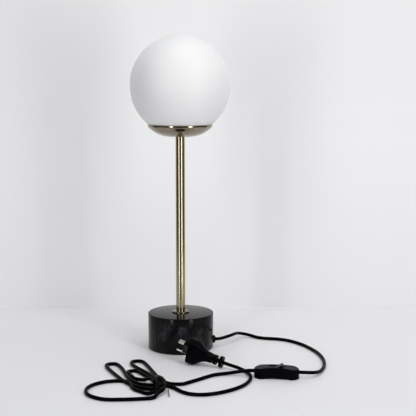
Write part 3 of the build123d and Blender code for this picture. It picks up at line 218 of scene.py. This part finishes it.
BASE_EXIT = (0.0535, 0, 0.012)
BASE_TO_SWITCH = [
    BASE_EXIT, (0.0605, 0.0005, 0.0122), (0.0695, 0.0062, 0.0132), (0.0775, 0.0148, 0.0136),
    (0.0836, 0.0262, 0.0128), (0.0876, 0.0382, 0.011), (0.0925, 0.0494, 0.0082), (0.1022, 0.0545, 0.0054),
    (0.1116, 0.0536, 0.0033), (0.12, 0.0442, CORD_Z), (0.1315, 0.0374, CORD_Z), (0.144, 0.0344, CORD_Z),
    (0.157, 0.0308, CORD_Z), (0.1695, 0.0226, CORD_Z), (0.181, 0.009, CORD_Z), (0.191, -0.008, CORD_Z),
    (0.2, -0.03, CORD_Z), (0.207, -0.057, CORD_Z), (0.209, -0.085, CORD_Z), (0.207, -0.11, CORD_Z),
    (0.202, -0.131, CORD_Z), (0.1955, -0.1475, 0.0034), (0.1895, -0.1585, 0.0052), (0.182, -0.167, 0.0072),
    in_switch(HALF_SWITCH + END_RUN, 0, SPLIT_HEIGHT), in_switch(HALF_SWITCH, 0, SPLIT_HEIGHT),
]
cord_to_switch = lay_cord("cord_base_to_switch_flex", BASE_TO_SWITCH, CORD_DIAMETER)
cord_to_switch.data.materials.append(flex_material)
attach(cord_to_switch, "lamp")
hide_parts("cord_base_to_switch")

# --------------------------------------------- the tied hank and the cord's end
# The spare flex is gathered in four loops and tied at its folds. It is one
# length: out of the switch, round every loop, out again and to the plug.
SWITCH_TO_HANK = [
    in_switch(-HALF_SWITCH, 0, SPLIT_HEIGHT), in_switch(-HALF_SWITCH - END_RUN, 0, SPLIT_HEIGHT),
    (0.0845, -0.1554, 0.0066), (0.073, -0.153, 0.0042), (0.06, -0.1526, CORD_Z),
    (0.0465, -0.157, CORD_Z), (0.0345, -0.168, CORD_Z), (0.0225, -0.1805, CORD_Z), (0.008, -0.194, CORD_Z),
]
PLUG_FACE = Vector((0.0125, -0.094, 0.0212))
PLUG_END = Vector((0.06, -0.1185, 0.0087))
PLUG_AXIS = (PLUG_END - PLUG_FACE).normalized()
HANK_TO_PLUG = [
    (-0.005, -0.222, CORD_Z), (0.002, -0.234, CORD_Z), (0.0125, -0.243, CORD_Z), (0.028, -0.246, CORD_Z),
    (0.0445, -0.2415, CORD_Z), (0.061, -0.2315, CORD_Z), (0.0765, -0.2175, CORD_Z),
    (0.0886, -0.1995, CORD_Z), (0.0954, -0.18, CORD_Z), (0.0966, -0.1615, CORD_Z),
    (0.0932, -0.1468, CORD_Z), (0.0862, -0.136, 0.0036), (0.077, -0.1286, 0.0054),
    tuple(PLUG_END + PLUG_AXIS * END_RUN), tuple(PLUG_END),
]
ENTRY_STRAND = [(-0.005, -0.199, 182), (-0.018, -0.194, 135)]
EXIT_STRAND = [(-0.047, -0.2015, -15), (-0.03, -0.203, -8), (-0.016, -0.2075, -38)]
# root out (x, y, heading), tip (x, y, bearing), width, root back, side of turn
LOOPS = [
    ((-0.035, -0.157, 105), (-0.0655, -0.0865, 108), 0.019, (-0.0412, -0.159, -65), 1),
    ((-0.04, -0.258, 190), (-0.1255, -0.2215, 179), 0.08, (-0.0545, -0.228, -47), -1),
    ((-0.0398, -0.1765, 112), (-0.07, -0.136, 115), 0.016, (-0.054, -0.1775, -19), 1),
    ((-0.042, -0.2215, 146), (-0.1015, -0.1, 110), 0.0185, (-0.061, -0.1915, -59), -1),
]
# each fold stands up over the strand that leaves the bundle: (x, y, z, heading)
FOLDS = [
    [(-0.0285, -0.1895, 0.0093, -67), (-0.0215, -0.212, 0.0078, -91), (-0.0275, -0.24, 0.0053, -126)],
    [(-0.038, -0.2395, 0.0038, 10), (-0.0315, -0.213, 0.0135, 94), (-0.034, -0.191, 0.0098, 112)],
    [(-0.0425, -0.1885, 0.0074, -48), (-0.0375, -0.1985, 0.0086, -84), (-0.032, -0.2205, 0.0056, -134)],
]


def loop_places(root_out, tip, width, root_back, side):
    """Places round one loop: out, beside the tip, the tip, beside it again, back."""
    bearing = radians(tip[2])
    half = width / 2

    def beside(along, across):
        x = tip[0] + along * cos(bearing) - across * sin(bearing)
        y = tip[1] + along * sin(bearing) + across * cos(bearing)
        return x, y

    return [
        (*root_out[:2], CORD_Z, root_out[2]),
        (*beside(-half, -side * half), CORD_Z, tip[2]),
        (*tip[:2], CORD_Z, tip[2] + side * 90),
        (*beside(-half, side * half), CORD_Z, tip[2] + 180),
        (*root_back[:2], CORD_Z, root_back[2]),
    ]


def hank_places():
    """Every place of the hank in order: (x, y, z, heading)."""
    places = [(x, y, CORD_Z, heading) for x, y, heading in ENTRY_STRAND]
    for count, loop in enumerate(LOOPS):
        places += loop_places(*loop)
        if count < len(FOLDS):
            places += FOLDS[count]
    return places + [(x, y, CORD_Z, heading) for x, y, heading in EXIT_STRAND]


def with_directions(places):
    """Point and direction of each place, sloping with its neighbours."""
    last = len(places) - 1
    result = []
    for count, (x, y, z, heading) in enumerate(places):
        before, after = places[max(count - 1, 0)], places[min(count + 1, last)]
        run = hypot(x - before[0], y - before[1]) + hypot(after[0] - x, after[1] - y)
        slope = (after[2] - before[2]) / run if z > CORD_Z else 0
        direction = Vector((cos(radians(heading)), sin(radians(heading)), slope)).normalized()
        result.append((Vector((x, y, z)), direction))
    return result


def bend_points(start, leaving, end, arriving):
    """The two points that pull the line from one place round to the next."""
    chord = end - start
    both = leaving + arriving
    spread = 2 * (1 - leaving.dot(arriving))
    reach = chord.dot(both)
    if spread < 1e-9:
        length = chord.dot(chord) / (4 * chord.dot(arriving))
    else:
        length = (sqrt(reach**2 + spread * chord.dot(chord)) - reach) / spread
    return [tuple(start + leaving * length), tuple(end - arriving * length)]


def hank_points():
    """Points that shape the whole hank, from its entry to its exit."""
    first, last = Vector(SWITCH_TO_HANK[-1]), Vector(HANK_TO_PLUG[0])
    entering = (first - Vector(SWITCH_TO_HANK[-2])).normalized()
    leaving = (Vector(HANK_TO_PLUG[1]) - last).normalized()
    way = [(first + entering * CORD_DIAMETER, entering)] + with_directions(hank_places())
    way.append((last - leaving * CORD_DIAMETER, leaving))
    points = []
    for (start, out), (end, arriving) in zip(way, way[1:]):
        points += bend_points(start, out, end, arriving)
    return points


SWITCH_TO_PLUG = SWITCH_TO_HANK + hank_points() + HANK_TO_PLUG
cord_to_plug = lay_cord("cord_switch_to_plug_flex", SWITCH_TO_PLUG, CORD_DIAMETER)
cord_to_plug.data.materials.append(flex_material)
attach(cord_to_plug, "lamp")
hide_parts("cord_switch_to_hank", "cord_hank", "cord_hank_to_plug")

# -------------------------------------------------------------- the marble base
# A turned block of black marble with faint grey veins, ground, polished and
# softened at its edges, hollowed from below for the nut and the cord clamp.
BASE_RADIUS = 0.05
BASE_BOTTOM = 0.0015
BASE_TOP = 0.055
TOP_ROUNDING = 0.0012
BOTTOM_CHAMFER = 0.0008
LEDGE_RADIUS = 0.036
LEDGE_DEPTH = 0.0015
CAVITY_RADIUS = 0.032
CAVITY_TOP = 0.038
ROD_HOLE_RADIUS = 0.0055
CORD_HOLE_RADIUS = 0.00375
CORD_HOLE_HEIGHT = 0.012
ROUND_STEPS = 128
HOLE_MARGIN = 0.0005


def add_drum(name, radius, bottom, top, steps):
    """Upright cylinder between two heights, its place in its own mesh."""
    bpy.ops.object.select_all(action="DESELECT")
    bpy.ops.mesh.primitive_cylinder_add(vertices=steps, radius=radius, depth=top - bottom,
                                        location=(0, 0, (bottom + top) / 2))
    piece = bpy.context.object
    piece.name = name
    bpy.ops.object.transform_apply(location=True, rotation=True, scale=True)
    return piece


def pick(piece, kind, wanted):
    """In edit mode, select the points, edges or faces whose middle passes a test."""
    bpy.ops.mesh.select_mode(type=kind)
    bpy.ops.mesh.select_all(action="DESELECT")
    mesh = bmesh.from_edit_mesh(piece.data)
    items = {"VERT": mesh.verts, "EDGE": mesh.edges, "FACE": mesh.faces}[kind]
    for item in items:
        points = [item.co] if kind == "VERT" else [vert.co for vert in item.verts]
        if wanted(sum(points, Vector()) / len(points), points):
            item.select_set(True)
    mesh.select_flush_mode()
    bmesh.update_edit_mesh(piece.data)


def rim(height, radius):
    """Test for the edges of one level circle."""
    return lambda middle, points: all(
        abs(point.z - height) < 1e-5 and abs(hypot(point.x, point.y) - radius) < 1e-5 for point in points)


def disc(height):
    """Test for a level face round the axis."""
    return lambda middle, points: abs(middle.z - height) < 1e-5 and hypot(middle.x, middle.y) < 1e-4


def within(radius):
    """Test for what lies nearer to the axis than a radius."""
    return lambda middle, points: all(hypot(point.x, point.y) < radius for point in points)


def use_modifier(piece, kind, **settings):
    """Add a modifier with its settings and apply it."""
    bpy.ops.object.select_all(action="DESELECT")
    piece.select_set(True)
    bpy.context.view_layer.objects.active = piece
    modifier = piece.modifiers.new(kind.lower(), kind)
    for setting, value in settings.items():
        setattr(modifier, setting, value)
    bpy.ops.object.modifier_apply(modifier=modifier.name)


def finish_piece(piece, material, body, slot, *replaced):
    """Smooth, coat and hand over one piece."""
    if bpy.context.mode == "EDIT_MESH":
        bpy.ops.mesh.select_all(action="SELECT")
        bpy.ops.mesh.normals_make_consistent(inside=False)
        bpy.ops.object.mode_set(mode="OBJECT")
    bpy.ops.object.select_all(action="DESELECT")
    piece.select_set(True)
    bpy.context.view_layer.objects.active = piece
    bpy.ops.object.shade_smooth_by_angle(angle=radians(32))
    piece.data.materials.append(material)
    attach(piece, body)
    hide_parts(*replaced)


marble, marble_shader, marble_nodes, marble_links = textured(
    "black_marble", (0.0025, 0.0028, 0.003), (0.007, 0.0075, 0.008), 0.1, grain=22.0,
    spread=0.04, bump=0.02)
marble_shader.inputs["Specular IOR Level"].default_value = 0.085
marble_place = marble_nodes.new("ShaderNodeTexCoord")
vein_turn = add_node(marble_nodes, "ShaderNodeMapping", Rotation=(0.12, 0.18, 0.8), Scale=(1, 1, 0.3))
vein_bend = add_node(marble_nodes, "ShaderNodeTexNoise", Scale=34.0, Detail=5.0, Roughness=0.55,
                     Distortion=0.7)
vein_line = add_node(marble_nodes, "ShaderNodeMapRange", From_Min=0.0, From_Max=0.06,
                     To_Min=1.0, To_Max=0.0)
vein_off = marble_nodes.new("ShaderNodeMath")
vein_off.operation = "SUBTRACT"
vein_off.inputs[1].default_value = 0.5
vein_near = marble_nodes.new("ShaderNodeMath")
vein_near.operation = "ABSOLUTE"
vein_fade = add_node(marble_nodes, "ShaderNodeTexNoise", Scale=34.0, Detail=2.0)
vein_patch = add_node(marble_nodes, "ShaderNodeMapRange", From_Min=0.42, From_Max=0.7,
                      To_Min=0.0, To_Max=0.9)
vein_share = marble_nodes.new("ShaderNodeMath")
vein_share.operation = "MULTIPLY"
vein_color = marble_nodes.new("ShaderNodeMix")
vein_color.data_type = "RGBA"
vein_color.inputs[7].default_value = (0.045, 0.046, 0.052, 1)
marble_links.new(marble_place.outputs["Object"], vein_turn.inputs["Vector"])
marble_links.new(vein_turn.outputs["Vector"], vein_bend.inputs["Vector"])
marble_links.new(vein_bend.outputs["Fac"], vein_off.inputs[0])
marble_links.new(vein_off.outputs["Value"], vein_near.inputs[0])
marble_links.new(vein_near.outputs["Value"], vein_line.inputs["Value"])
marble_links.new(marble_place.outputs["Object"], vein_fade.inputs["Vector"])
marble_links.new(vein_fade.outputs["Fac"], vein_patch.inputs["Value"])
marble_links.new(vein_line.outputs["Result"], vein_share.inputs[0])
marble_links.new(vein_patch.outputs["Result"], vein_share.inputs[1])
marble_links.new(vein_share.outputs["Value"], vein_color.inputs["Factor"])
marble_links.new(marble_shader.inputs["Base Color"].links[0].from_socket, vein_color.inputs[6])
marble_links.new(vein_color.outputs[2], marble_shader.inputs["Base Color"])

base = add_drum("base_block", BASE_RADIUS, BASE_BOTTOM, BASE_TOP, ROUND_STEPS)
bpy.ops.object.mode_set(mode="EDIT")
pick(base, "EDGE", rim(BASE_TOP, BASE_RADIUS))
bpy.ops.mesh.bevel(offset=TOP_ROUNDING, segments=5, affect="EDGES")
pick(base, "EDGE", rim(BASE_BOTTOM, BASE_RADIUS))
bpy.ops.mesh.bevel(offset=BOTTOM_CHAMFER, segments=2, affect="EDGES")
pick(base, "FACE", disc(BASE_BOTTOM))
bpy.ops.mesh.inset(thickness=BASE_RADIUS - BOTTOM_CHAMFER - LEDGE_RADIUS)
bpy.ops.mesh.extrude_region_move(TRANSFORM_OT_translate={"value": (0, 0, LEDGE_DEPTH)})
bpy.ops.mesh.inset(thickness=LEDGE_RADIUS - CAVITY_RADIUS)
bpy.ops.mesh.extrude_region_move(
    TRANSFORM_OT_translate={"value": (0, 0, CAVITY_TOP - BASE_BOTTOM - LEDGE_DEPTH)})
bpy.ops.mesh.inset(thickness=CAVITY_RADIUS - ROD_HOLE_RADIUS)
bpy.ops.mesh.delete(type="FACE")
pick(base, "FACE", disc(BASE_TOP))
bpy.ops.mesh.inset(thickness=BASE_RADIUS - TOP_ROUNDING - ROD_HOLE_RADIUS)
bpy.ops.mesh.delete(type="FACE")
pick(base, "EDGE", within(ROD_HOLE_RADIUS + HOLE_MARGIN))
bpy.ops.mesh.bridge_edge_loops()
bpy.ops.mesh.select_all(action="SELECT")
bpy.ops.mesh.normals_make_consistent(inside=False)
bpy.ops.object.mode_set(mode="OBJECT")

bpy.ops.object.select_all(action="DESELECT")
bpy.ops.mesh.primitive_cylinder_add(vertices=32, radius=CORD_HOLE_RADIUS, depth=BASE_RADIUS,
                                    location=(BASE_RADIUS, 0, CORD_HOLE_HEIGHT), rotation=(0, pi / 2, 0))
cord_drill = bpy.context.object
bpy.ops.object.transform_apply(location=True, rotation=True, scale=True)
use_modifier(base, "BOOLEAN", object=cord_drill, operation="DIFFERENCE", solver="EXACT")
bpy.data.objects.remove(cord_drill)
finish_piece(base, marble, "lamp", "marble", "marble_base")

# --------------------------------------------------------------- the foam pad
# A disc of thin closed-cell foam, die-cut and glued under the marble, its lower
# edge rounded a little by the weight of the lamp.
PAD_RADIUS = 0.048
PAD_ROUNDING = 0.0005
PAD_BORDER = 0.002

foam = textured("black_foam", (0.02, 0.02, 0.021), (0.035, 0.035, 0.035), 0.85, grain=700.0, bump=0.5)[0]
pad = add_drum("base_foam", PAD_RADIUS, 0, BASE_BOTTOM, ROUND_STEPS)
bpy.ops.object.mode_set(mode="EDIT")
pick(pad, "EDGE", rim(0, PAD_RADIUS))
bpy.ops.mesh.bevel(offset=PAD_ROUNDING, segments=3, affect="EDGES")
pick(pad, "FACE", disc(0))
bpy.ops.mesh.inset(thickness=PAD_BORDER, depth=0)
finish_piece(pad, foam, "lamp", "eva_pad", "base_pad")

# ---------------------------------------------------------- stem and its flange
# Drawn brass tube, darkened, brushed along its length and lacquered. It stands
# on a thin turned collar of the same brass, its colour darkened much further as painted shade.
STEM_RADIUS = 0.007
STEM_STEPS = 96
STEM_WALL = 0.001
STEM_BOTTOM = 0.057
STEM_TOP = 0.3238
FLANGE_RADIUS = 0.01325
FLANGE_EDGE = 0.0005
FLANGE_HOLE_RADIUS = 0.00525

stem_brass = textured(
    "brushed_brass_tube", (0.31, 0.27, 0.165), (0.41, 0.365, 0.235), 0.17, metallic=1.0, grain=260.0,
    stretch=(1, 1, 0.02), spread=0.02, bump=0.01, depth=0.00001)[0]
stem = add_drum("stem_brass_tube", STEM_RADIUS, STEM_BOTTOM, STEM_TOP, STEM_STEPS)
bpy.ops.object.mode_set(mode="EDIT")
pick(stem, "FACE", lambda middle, points: hypot(middle.x, middle.y) < 1e-4)
bpy.ops.mesh.inset(thickness=STEM_WALL, use_individual=True)
bpy.ops.mesh.delete(type="FACE")
pick(stem, "EDGE", within(STEM_RADIUS - STEM_WALL / 2))
bpy.ops.mesh.bridge_edge_loops()
finish_piece(stem, stem_brass, "lamp", "antique_brass", "stem_tube")

flange = add_drum("stem_brass_collar", FLANGE_RADIUS, BASE_TOP, STEM_BOTTOM, STEM_STEPS)
bpy.ops.object.mode_set(mode="EDIT")
pick(flange, "EDGE", rim(STEM_BOTTOM, FLANGE_RADIUS))
bpy.ops.mesh.bevel(offset=FLANGE_EDGE, segments=4, affect="EDGES")
pick(flange, "FACE", disc(STEM_BOTTOM))
bpy.ops.mesh.inset(thickness=FLANGE_RADIUS - FLANGE_EDGE - FLANGE_HOLE_RADIUS)
bpy.ops.mesh.delete(type="FACE")
pick(flange, "FACE", disc(BASE_TOP))
bpy.ops.mesh.inset(thickness=FLANGE_RADIUS - FLANGE_HOLE_RADIUS)
bpy.ops.mesh.delete(type="FACE")
pick(flange, "EDGE", within(FLANGE_HOLE_RADIUS + HOLE_MARGIN))
bpy.ops.mesh.bridge_edge_loops()
# the collar's colour is the stem brass made about three times darker: painted shade, not a finish of its
# own
shaded_collar_brass = textured(
    "turned_brass_collar_painted_shade", (0.11, 0.095, 0.06), (0.17, 0.15, 0.095), 0.22, metallic=1.0, grain=240.0,
    spread=0.04, bump=0.03, depth=0.00002)[0]
finish_piece(flange, shaded_collar_brass, "lamp", "antique_brass", "stem_flange")

# -------------------------------------------------------------------- the dish
# Shallow bowl turned from thick brass, satin finished in the same dark tone: a
# flat seat on the stem, a full underside and a narrow upright band at the rim.
DISH_INNER_RADIUS = 0.07086
DISH_OUTER_RADIUS = 0.07166
DISH_SEAT_RADIUS = 0.01
DISH_SEAT_WALL = 0.0008
DISH_RIM_RADIUS = 0.0486
DISH_RIM_WALL = 0.00054
DISH_BAND_RADIUS = 0.0485
DISH_BAND_HEIGHT = 0.0026
DISH_CENTRE = 0.39476
DISH_RIM_HEIGHT = DISH_CENTRE - sqrt(DISH_OUTER_RADIUS**2 - DISH_RIM_RADIUS**2)
DISH_FULLNESS = 3.3
DISH_BOWL_START = 0.012
UNDER_STEP = 0.00152
INSIDE_STEP = 0.0018
# the turn from the underside into the band: (radius, distance below the rim)
DISH_TURN = [(0.04755, 0.0037), (0.04805, 0.0031), (0.04835, 0.0025), (0.04852, 0.0019), (0.0486, 0.0012),
             (0.0486, 0.0001), (0.0485, 0.0)]


def turn_loop(name, stations, steps):
    """Turned closed section: one circle drawn on through a list of (radius, height)."""
    radius, height = stations[0]
    bpy.ops.object.select_all(action="DESELECT")
    bpy.ops.mesh.primitive_circle_add(vertices=steps, radius=radius, location=(0, 0, height))
    piece = bpy.context.object
    piece.name = name
    bpy.ops.object.transform_apply(location=True, rotation=True, scale=True)
    bpy.ops.object.mode_set(mode="EDIT")
    bpy.ops.mesh.select_all(action="SELECT")
    for next_radius, next_height in stations[1:] + stations[:1]:
        bpy.ops.mesh.extrude_region_move(TRANSFORM_OT_translate={"value": (0, 0, next_height - height)})
        share = next_radius / radius
        bpy.ops.transform.resize(value=(share, share, 1), center_override=(0, 0, next_height))
        radius, height = next_radius, next_height
    bpy.ops.mesh.select_all(action="SELECT")
    bpy.ops.mesh.remove_doubles(threshold=1e-6)
    return piece


def dish_under(radius):
    """Height of the underside at a distance from the axis."""
    band_bottom = DISH_RIM_HEIGHT - DISH_BAND_HEIGHT
    return band_bottom - (band_bottom - STEM_TOP) * (1 - (radius / DISH_BAND_RADIUS) ** DISH_FULLNESS)


def dish_inside(radius):
    """Height of the inner face at a distance from the axis."""
    return DISH_CENTRE - sqrt(DISH_INNER_RADIUS**2 - radius**2)


dish_brass = textured(
    "satin_brass_bowl", (0.235, 0.2, 0.145), (0.3, 0.262, 0.19), 0.14, metallic=1.0, grain=70.0,
    stretch=(1, 1, 14), spread=0.03, bump=0.02, depth=0.00002)[0]
under_radii = [DISH_BOWL_START + UNDER_STEP * count for count in range(23)]
inside_radii = [DISH_BOWL_START + INSIDE_STEP * count for count in range(20)]
dish_stations = [(FLANGE_HOLE_RADIUS, STEM_TOP), (DISH_SEAT_RADIUS, STEM_TOP)]
dish_stations += [(radius, dish_under(radius)) for radius in under_radii]
dish_stations += [(radius, DISH_RIM_HEIGHT - drop) for radius, drop in DISH_TURN]
dish_stations += [(DISH_RIM_RADIUS - DISH_RIM_WALL, dish_inside(DISH_RIM_RADIUS - DISH_RIM_WALL))]
dish_stations += [(radius, dish_inside(radius)) for radius in reversed(inside_radii)]
dish_stations += [(FLANGE_HOLE_RADIUS, STEM_TOP + DISH_SEAT_WALL)]
dish = turn_loop("turned_dish", dish_stations, ROUND_STEPS)
finish_piece(dish, dish_brass, "lamp", "antique_brass", "globe_dish")

# ------------------------------------------------------------------- the globe
# Blown opal glass, acid-etched to a satin skin, cut open below and ground round
# the edge that stands on the ring in the dish.
GLOBE_RADIUS = 0.075
GLOBE_RINGS = 96
GLOBE_WALL = 0.0025
GLOBE_CENTRE = 0.40056
MOUTH_HEIGHT = 0.33614
EDGE_REACH = 0.0016
GROUND_EDGE = 0.0004

opal, opal_shader = textured(
    "satin_opal_glass", (0.87, 0.87, 0.875), (0.90, 0.90, 0.905), 0.5, grain=14.0, spread=0.04,
    bump=0.03, depth=0.0001)[:2]
opal_shader.inputs["Subsurface Weight"].default_value = 1.0
opal_shader.inputs["Subsurface Radius"].default_value = (0.004, 0.004, 0.004)
opal_shader.inputs["Subsurface Scale"].default_value = 1.0
opal_shader.inputs["Specular IOR Level"].default_value = 0.3
bpy.ops.object.select_all(action="DESELECT")
bpy.ops.mesh.primitive_uv_sphere_add(segments=ROUND_STEPS, ring_count=GLOBE_RINGS, radius=GLOBE_RADIUS,
                                     location=(0, 0, GLOBE_CENTRE))
globe = bpy.context.object
globe.name = "opal_globe"
bpy.ops.object.transform_apply(location=True, rotation=True, scale=True)
bpy.ops.object.mode_set(mode="EDIT")
bpy.ops.mesh.select_all(action="SELECT")
bpy.ops.mesh.bisect(plane_co=(0, 0, MOUTH_HEIGHT), plane_no=(0, 0, 1), clear_inner=True)
bpy.ops.object.mode_set(mode="OBJECT")
use_modifier(globe, "SOLIDIFY", thickness=GLOBE_WALL, offset=-1, use_even_offset=True)
bpy.ops.object.mode_set(mode="EDIT")
pick(globe, "EDGE", lambda middle, points: all(point.z < MOUTH_HEIGHT + EDGE_REACH for point in points)
     and abs(hypot(points[0].x, points[0].y) - hypot(points[1].x, points[1].y)) < 1e-6)
bpy.ops.mesh.bevel(offset=GROUND_EDGE, segments=2, affect="EDGES")
finish_piece(globe, opal, "globe", "opal_glass", "globe")


def coat(material, *names):
    """Give CAD nodes one material."""
    for name in names:
        shape = nodes[name].data
        shape.materials.clear()
        shape.materials.append(material)


zinc = textured("zinc_plated_steel", (0.48, 0.48, 0.47), (0.66, 0.66, 0.64), 0.34, metallic=1.0,
                grain=160.0)[0]
spring = textured("stainless_spring", (0.42, 0.42, 0.42), (0.56, 0.56, 0.55), 0.28, metallic=1.0,
                  grain=90.0, stretch=(1, 1, 6), bump=0.08)[0]
bright_brass = textured("turned_brass", (0.62, 0.45, 0.18), (0.78, 0.60, 0.28), 0.26, metallic=1.0,
                        grain=140.0, stretch=(1, 1, 8))[0]
nickel = textured("nickel_plate", (0.62, 0.61, 0.57), (0.76, 0.75, 0.70), 0.2, metallic=1.0,
                  grain=200.0, bump=0.05)[0]
ceramic = textured("glazed_ceramic", (0.72, 0.70, 0.65), (0.80, 0.78, 0.74), 0.22, grain=90.0,
                   bump=0.06)[0]
core_skin = textured("grey_core_sheath", (0.50, 0.50, 0.47), (0.62, 0.62, 0.58), 0.4, grain=300.0,
                     bump=0.08)[0]
silicone, silicone_shader = textured(
    "white_silicone", (0.62, 0.62, 0.60), (0.72, 0.72, 0.70), 0.55, grain=160.0, bump=0.08)[:2]
silicone_shader.inputs["Subsurface Weight"].default_value = 0.3
silicone_shader.inputs["Subsurface Radius"].default_value = (0.003, 0.003, 0.003)
silicone_shader.inputs["Subsurface Scale"].default_value = 1.0
bulb_glass, bulb_shader = textured(
    "frosted_bulb_glass", (0.82, 0.82, 0.80), (0.90, 0.90, 0.88), 0.35, bump=0.08)[:2]
bulb_shader.inputs["Transmission Weight"].default_value = 0.4
black_rubber, rubber_shader = textured(
    "black_rubber", (0.0015, 0.0015, 0.002), (0.004, 0.004, 0.005), 0.5, grain=500.0, bump=0.2)[:2]
rubber_shader.inputs["Specular IOR Level"].default_value = 0.08
black_nylon, nylon_shader = textured(
    "black_nylon", (0.0015, 0.0015, 0.002), (0.004, 0.004, 0.005), 0.4, grain=400.0, bump=0.12)[:2]
nylon_shader.inputs["Specular IOR Level"].default_value = 0.06

coat(zinc, "base_cover_plate", "cord_anchor_screws", "lower_nipple", "steel_washer", "lock_washer",
     "lower_nut", "upper_nipple", "lampholder_bracket", "upper_nut", "lampholder_screw", "rocker_pin",
     "switch_terminal_screws", "switch_housing_screws")
coat(spring, "globe_clip_spring", "lampholder_contacts")
coat(bright_brass, "stem_insert_lower", "stem_insert_upper", "switch_terminal_left",
     "switch_terminal_right", "switch_contact_blade")
coat(nickel, "bulb_pins", "plug_pins")
coat(ceramic, "lampholder_body", "bulb_base")
coat(silicone, "globe_seat_ring")
coat(core_skin, "lampholder_leads")
coat(bulb_glass, "bulb_capsule")
coat(black_rubber, "cord_grommet")
coat(black_nylon, "cord_anchor_upper", "cord_anchor_lower")
coat(flex_material, "inner_flex", "switch_leads")

# ---------------------------------------------------------- switch and plug
# Injection-moulded black plastic with a fine spark-eroded grain, satin, its
# colour a shade bluish in the light.
black_plastic, plastic_shader = textured(
    "moulded_black_plastic", (0.0005, 0.0005, 0.001), (0.0018, 0.0018, 0.0028), 0.28, grain=900.0,
    spread=0.05, bump=0.18, depth=0.00006)[:2]
plastic_shader.inputs["Specular IOR Level"].default_value = 0.03
coat(black_plastic, "switch_upper_housing", "switch_lower_housing", "switch_rocker", "plug_body",
     "plug_pin_sleeves")

# --------------------------------------------------------------- the hank tie
# A flat black nylon-coated wire tie, bent once round the folds of the hank by
# hand, its end left lying on the table towards the viewer.
TIE_WIDTH = 0.0024
TIE_THICKNESS = 0.0008
TIE_PLANE = -0.2135
TIE_SIDES = (-0.0376, -0.0176)
TIE_HEIGHTS = (0.0007, 0.0169)
TIE_CORNER = 0.006
TAIL_HEIGHT = 0.0091
TAIL_SHARE = 0.8
TIE_TAIL = [(0.0001, -0.0035, -0.0028), (0.0003, -0.0042, -0.0029), (0.0005, -0.0085, -0.0012),
            (0.0007, -0.0085, -0.0006), (0.0006, -0.009, -0.0004)]

bpy.ops.object.select_all(action="DESELECT")
tie_middle = (TIE_SIDES[0] + TIE_SIDES[1]) / 2
bpy.ops.mesh.primitive_plane_add(size=1, location=(tie_middle, TIE_PLANE, TIE_HEIGHTS[0]),
                                 rotation=(0, pi / 2, 0))
tie = bpy.context.object
tie.name = "wire_tie"
tie.scale = (TIE_THICKNESS, TIE_WIDTH, 1)
bpy.ops.object.transform_apply(location=True, rotation=True, scale=True)
bpy.ops.object.mode_set(mode="EDIT")
bpy.ops.mesh.select_all(action="SELECT")
low_corner, high_corner = TIE_HEIGHTS[0] + TIE_CORNER, TIE_HEIGHTS[1] - TIE_CORNER
left_corner, right_corner = TIE_SIDES[0] + TIE_CORNER, TIE_SIDES[1] - TIE_CORNER
half_flat = right_corner - tie_middle
upright = high_corner - low_corner
# four sides: the straight run, then the corner that it turns round
for run, centre in (
        ((half_flat, 0, 0), (right_corner, TIE_PLANE, low_corner)),
        ((0, 0, upright), (right_corner, TIE_PLANE, high_corner)),
        ((-2 * half_flat, 0, 0), (left_corner, TIE_PLANE, high_corner)),
        ((0, 0, -upright), (left_corner, TIE_PLANE, low_corner))):
    bpy.ops.mesh.extrude_region_move(TRANSFORM_OT_translate={"value": run})
    bpy.ops.mesh.spin(steps=7, angle=pi / 2, center=centre, axis=(0, -1, 0))
bpy.ops.mesh.extrude_region_move(TRANSFORM_OT_translate={"value": (half_flat, 0, 0)})
pick(tie, "FACE", lambda middle, points: abs(middle.x - tie_middle) < 1e-6 and middle.z < low_corner)
bpy.ops.mesh.delete(type="ONLY_FACE")
bpy.ops.mesh.select_all(action="SELECT")
bpy.ops.mesh.remove_doubles(threshold=1e-6)
bpy.ops.mesh.select_all(action="DESELECT")
bpy.ops.object.mode_set(mode="OBJECT")
bpy.ops.mesh.primitive_plane_add(size=1, location=(TIE_SIDES[1], TIE_PLANE, TAIL_HEIGHT),
                                 rotation=(pi / 2, 0, 0))
tie_tail = bpy.context.object
tie_tail.scale = (TIE_THICKNESS, TIE_WIDTH * TAIL_SHARE, 1)
bpy.ops.object.transform_apply(location=True, rotation=True, scale=True)
bpy.ops.object.mode_set(mode="EDIT")
bpy.ops.mesh.select_all(action="SELECT")
for step in TIE_TAIL:
    bpy.ops.mesh.extrude_region_move(TRANSFORM_OT_translate={"value": step})
bpy.ops.object.mode_set(mode="OBJECT")
bpy.ops.object.select_all(action="DESELECT")
tie_tail.select_set(True)
tie.select_set(True)
bpy.context.view_layer.objects.active = tie
bpy.ops.object.join()
bpy.ops.object.mode_set(mode="EDIT")
finish_piece(tie, black_nylon, "lamp", "black_nylon", "hank_tie")
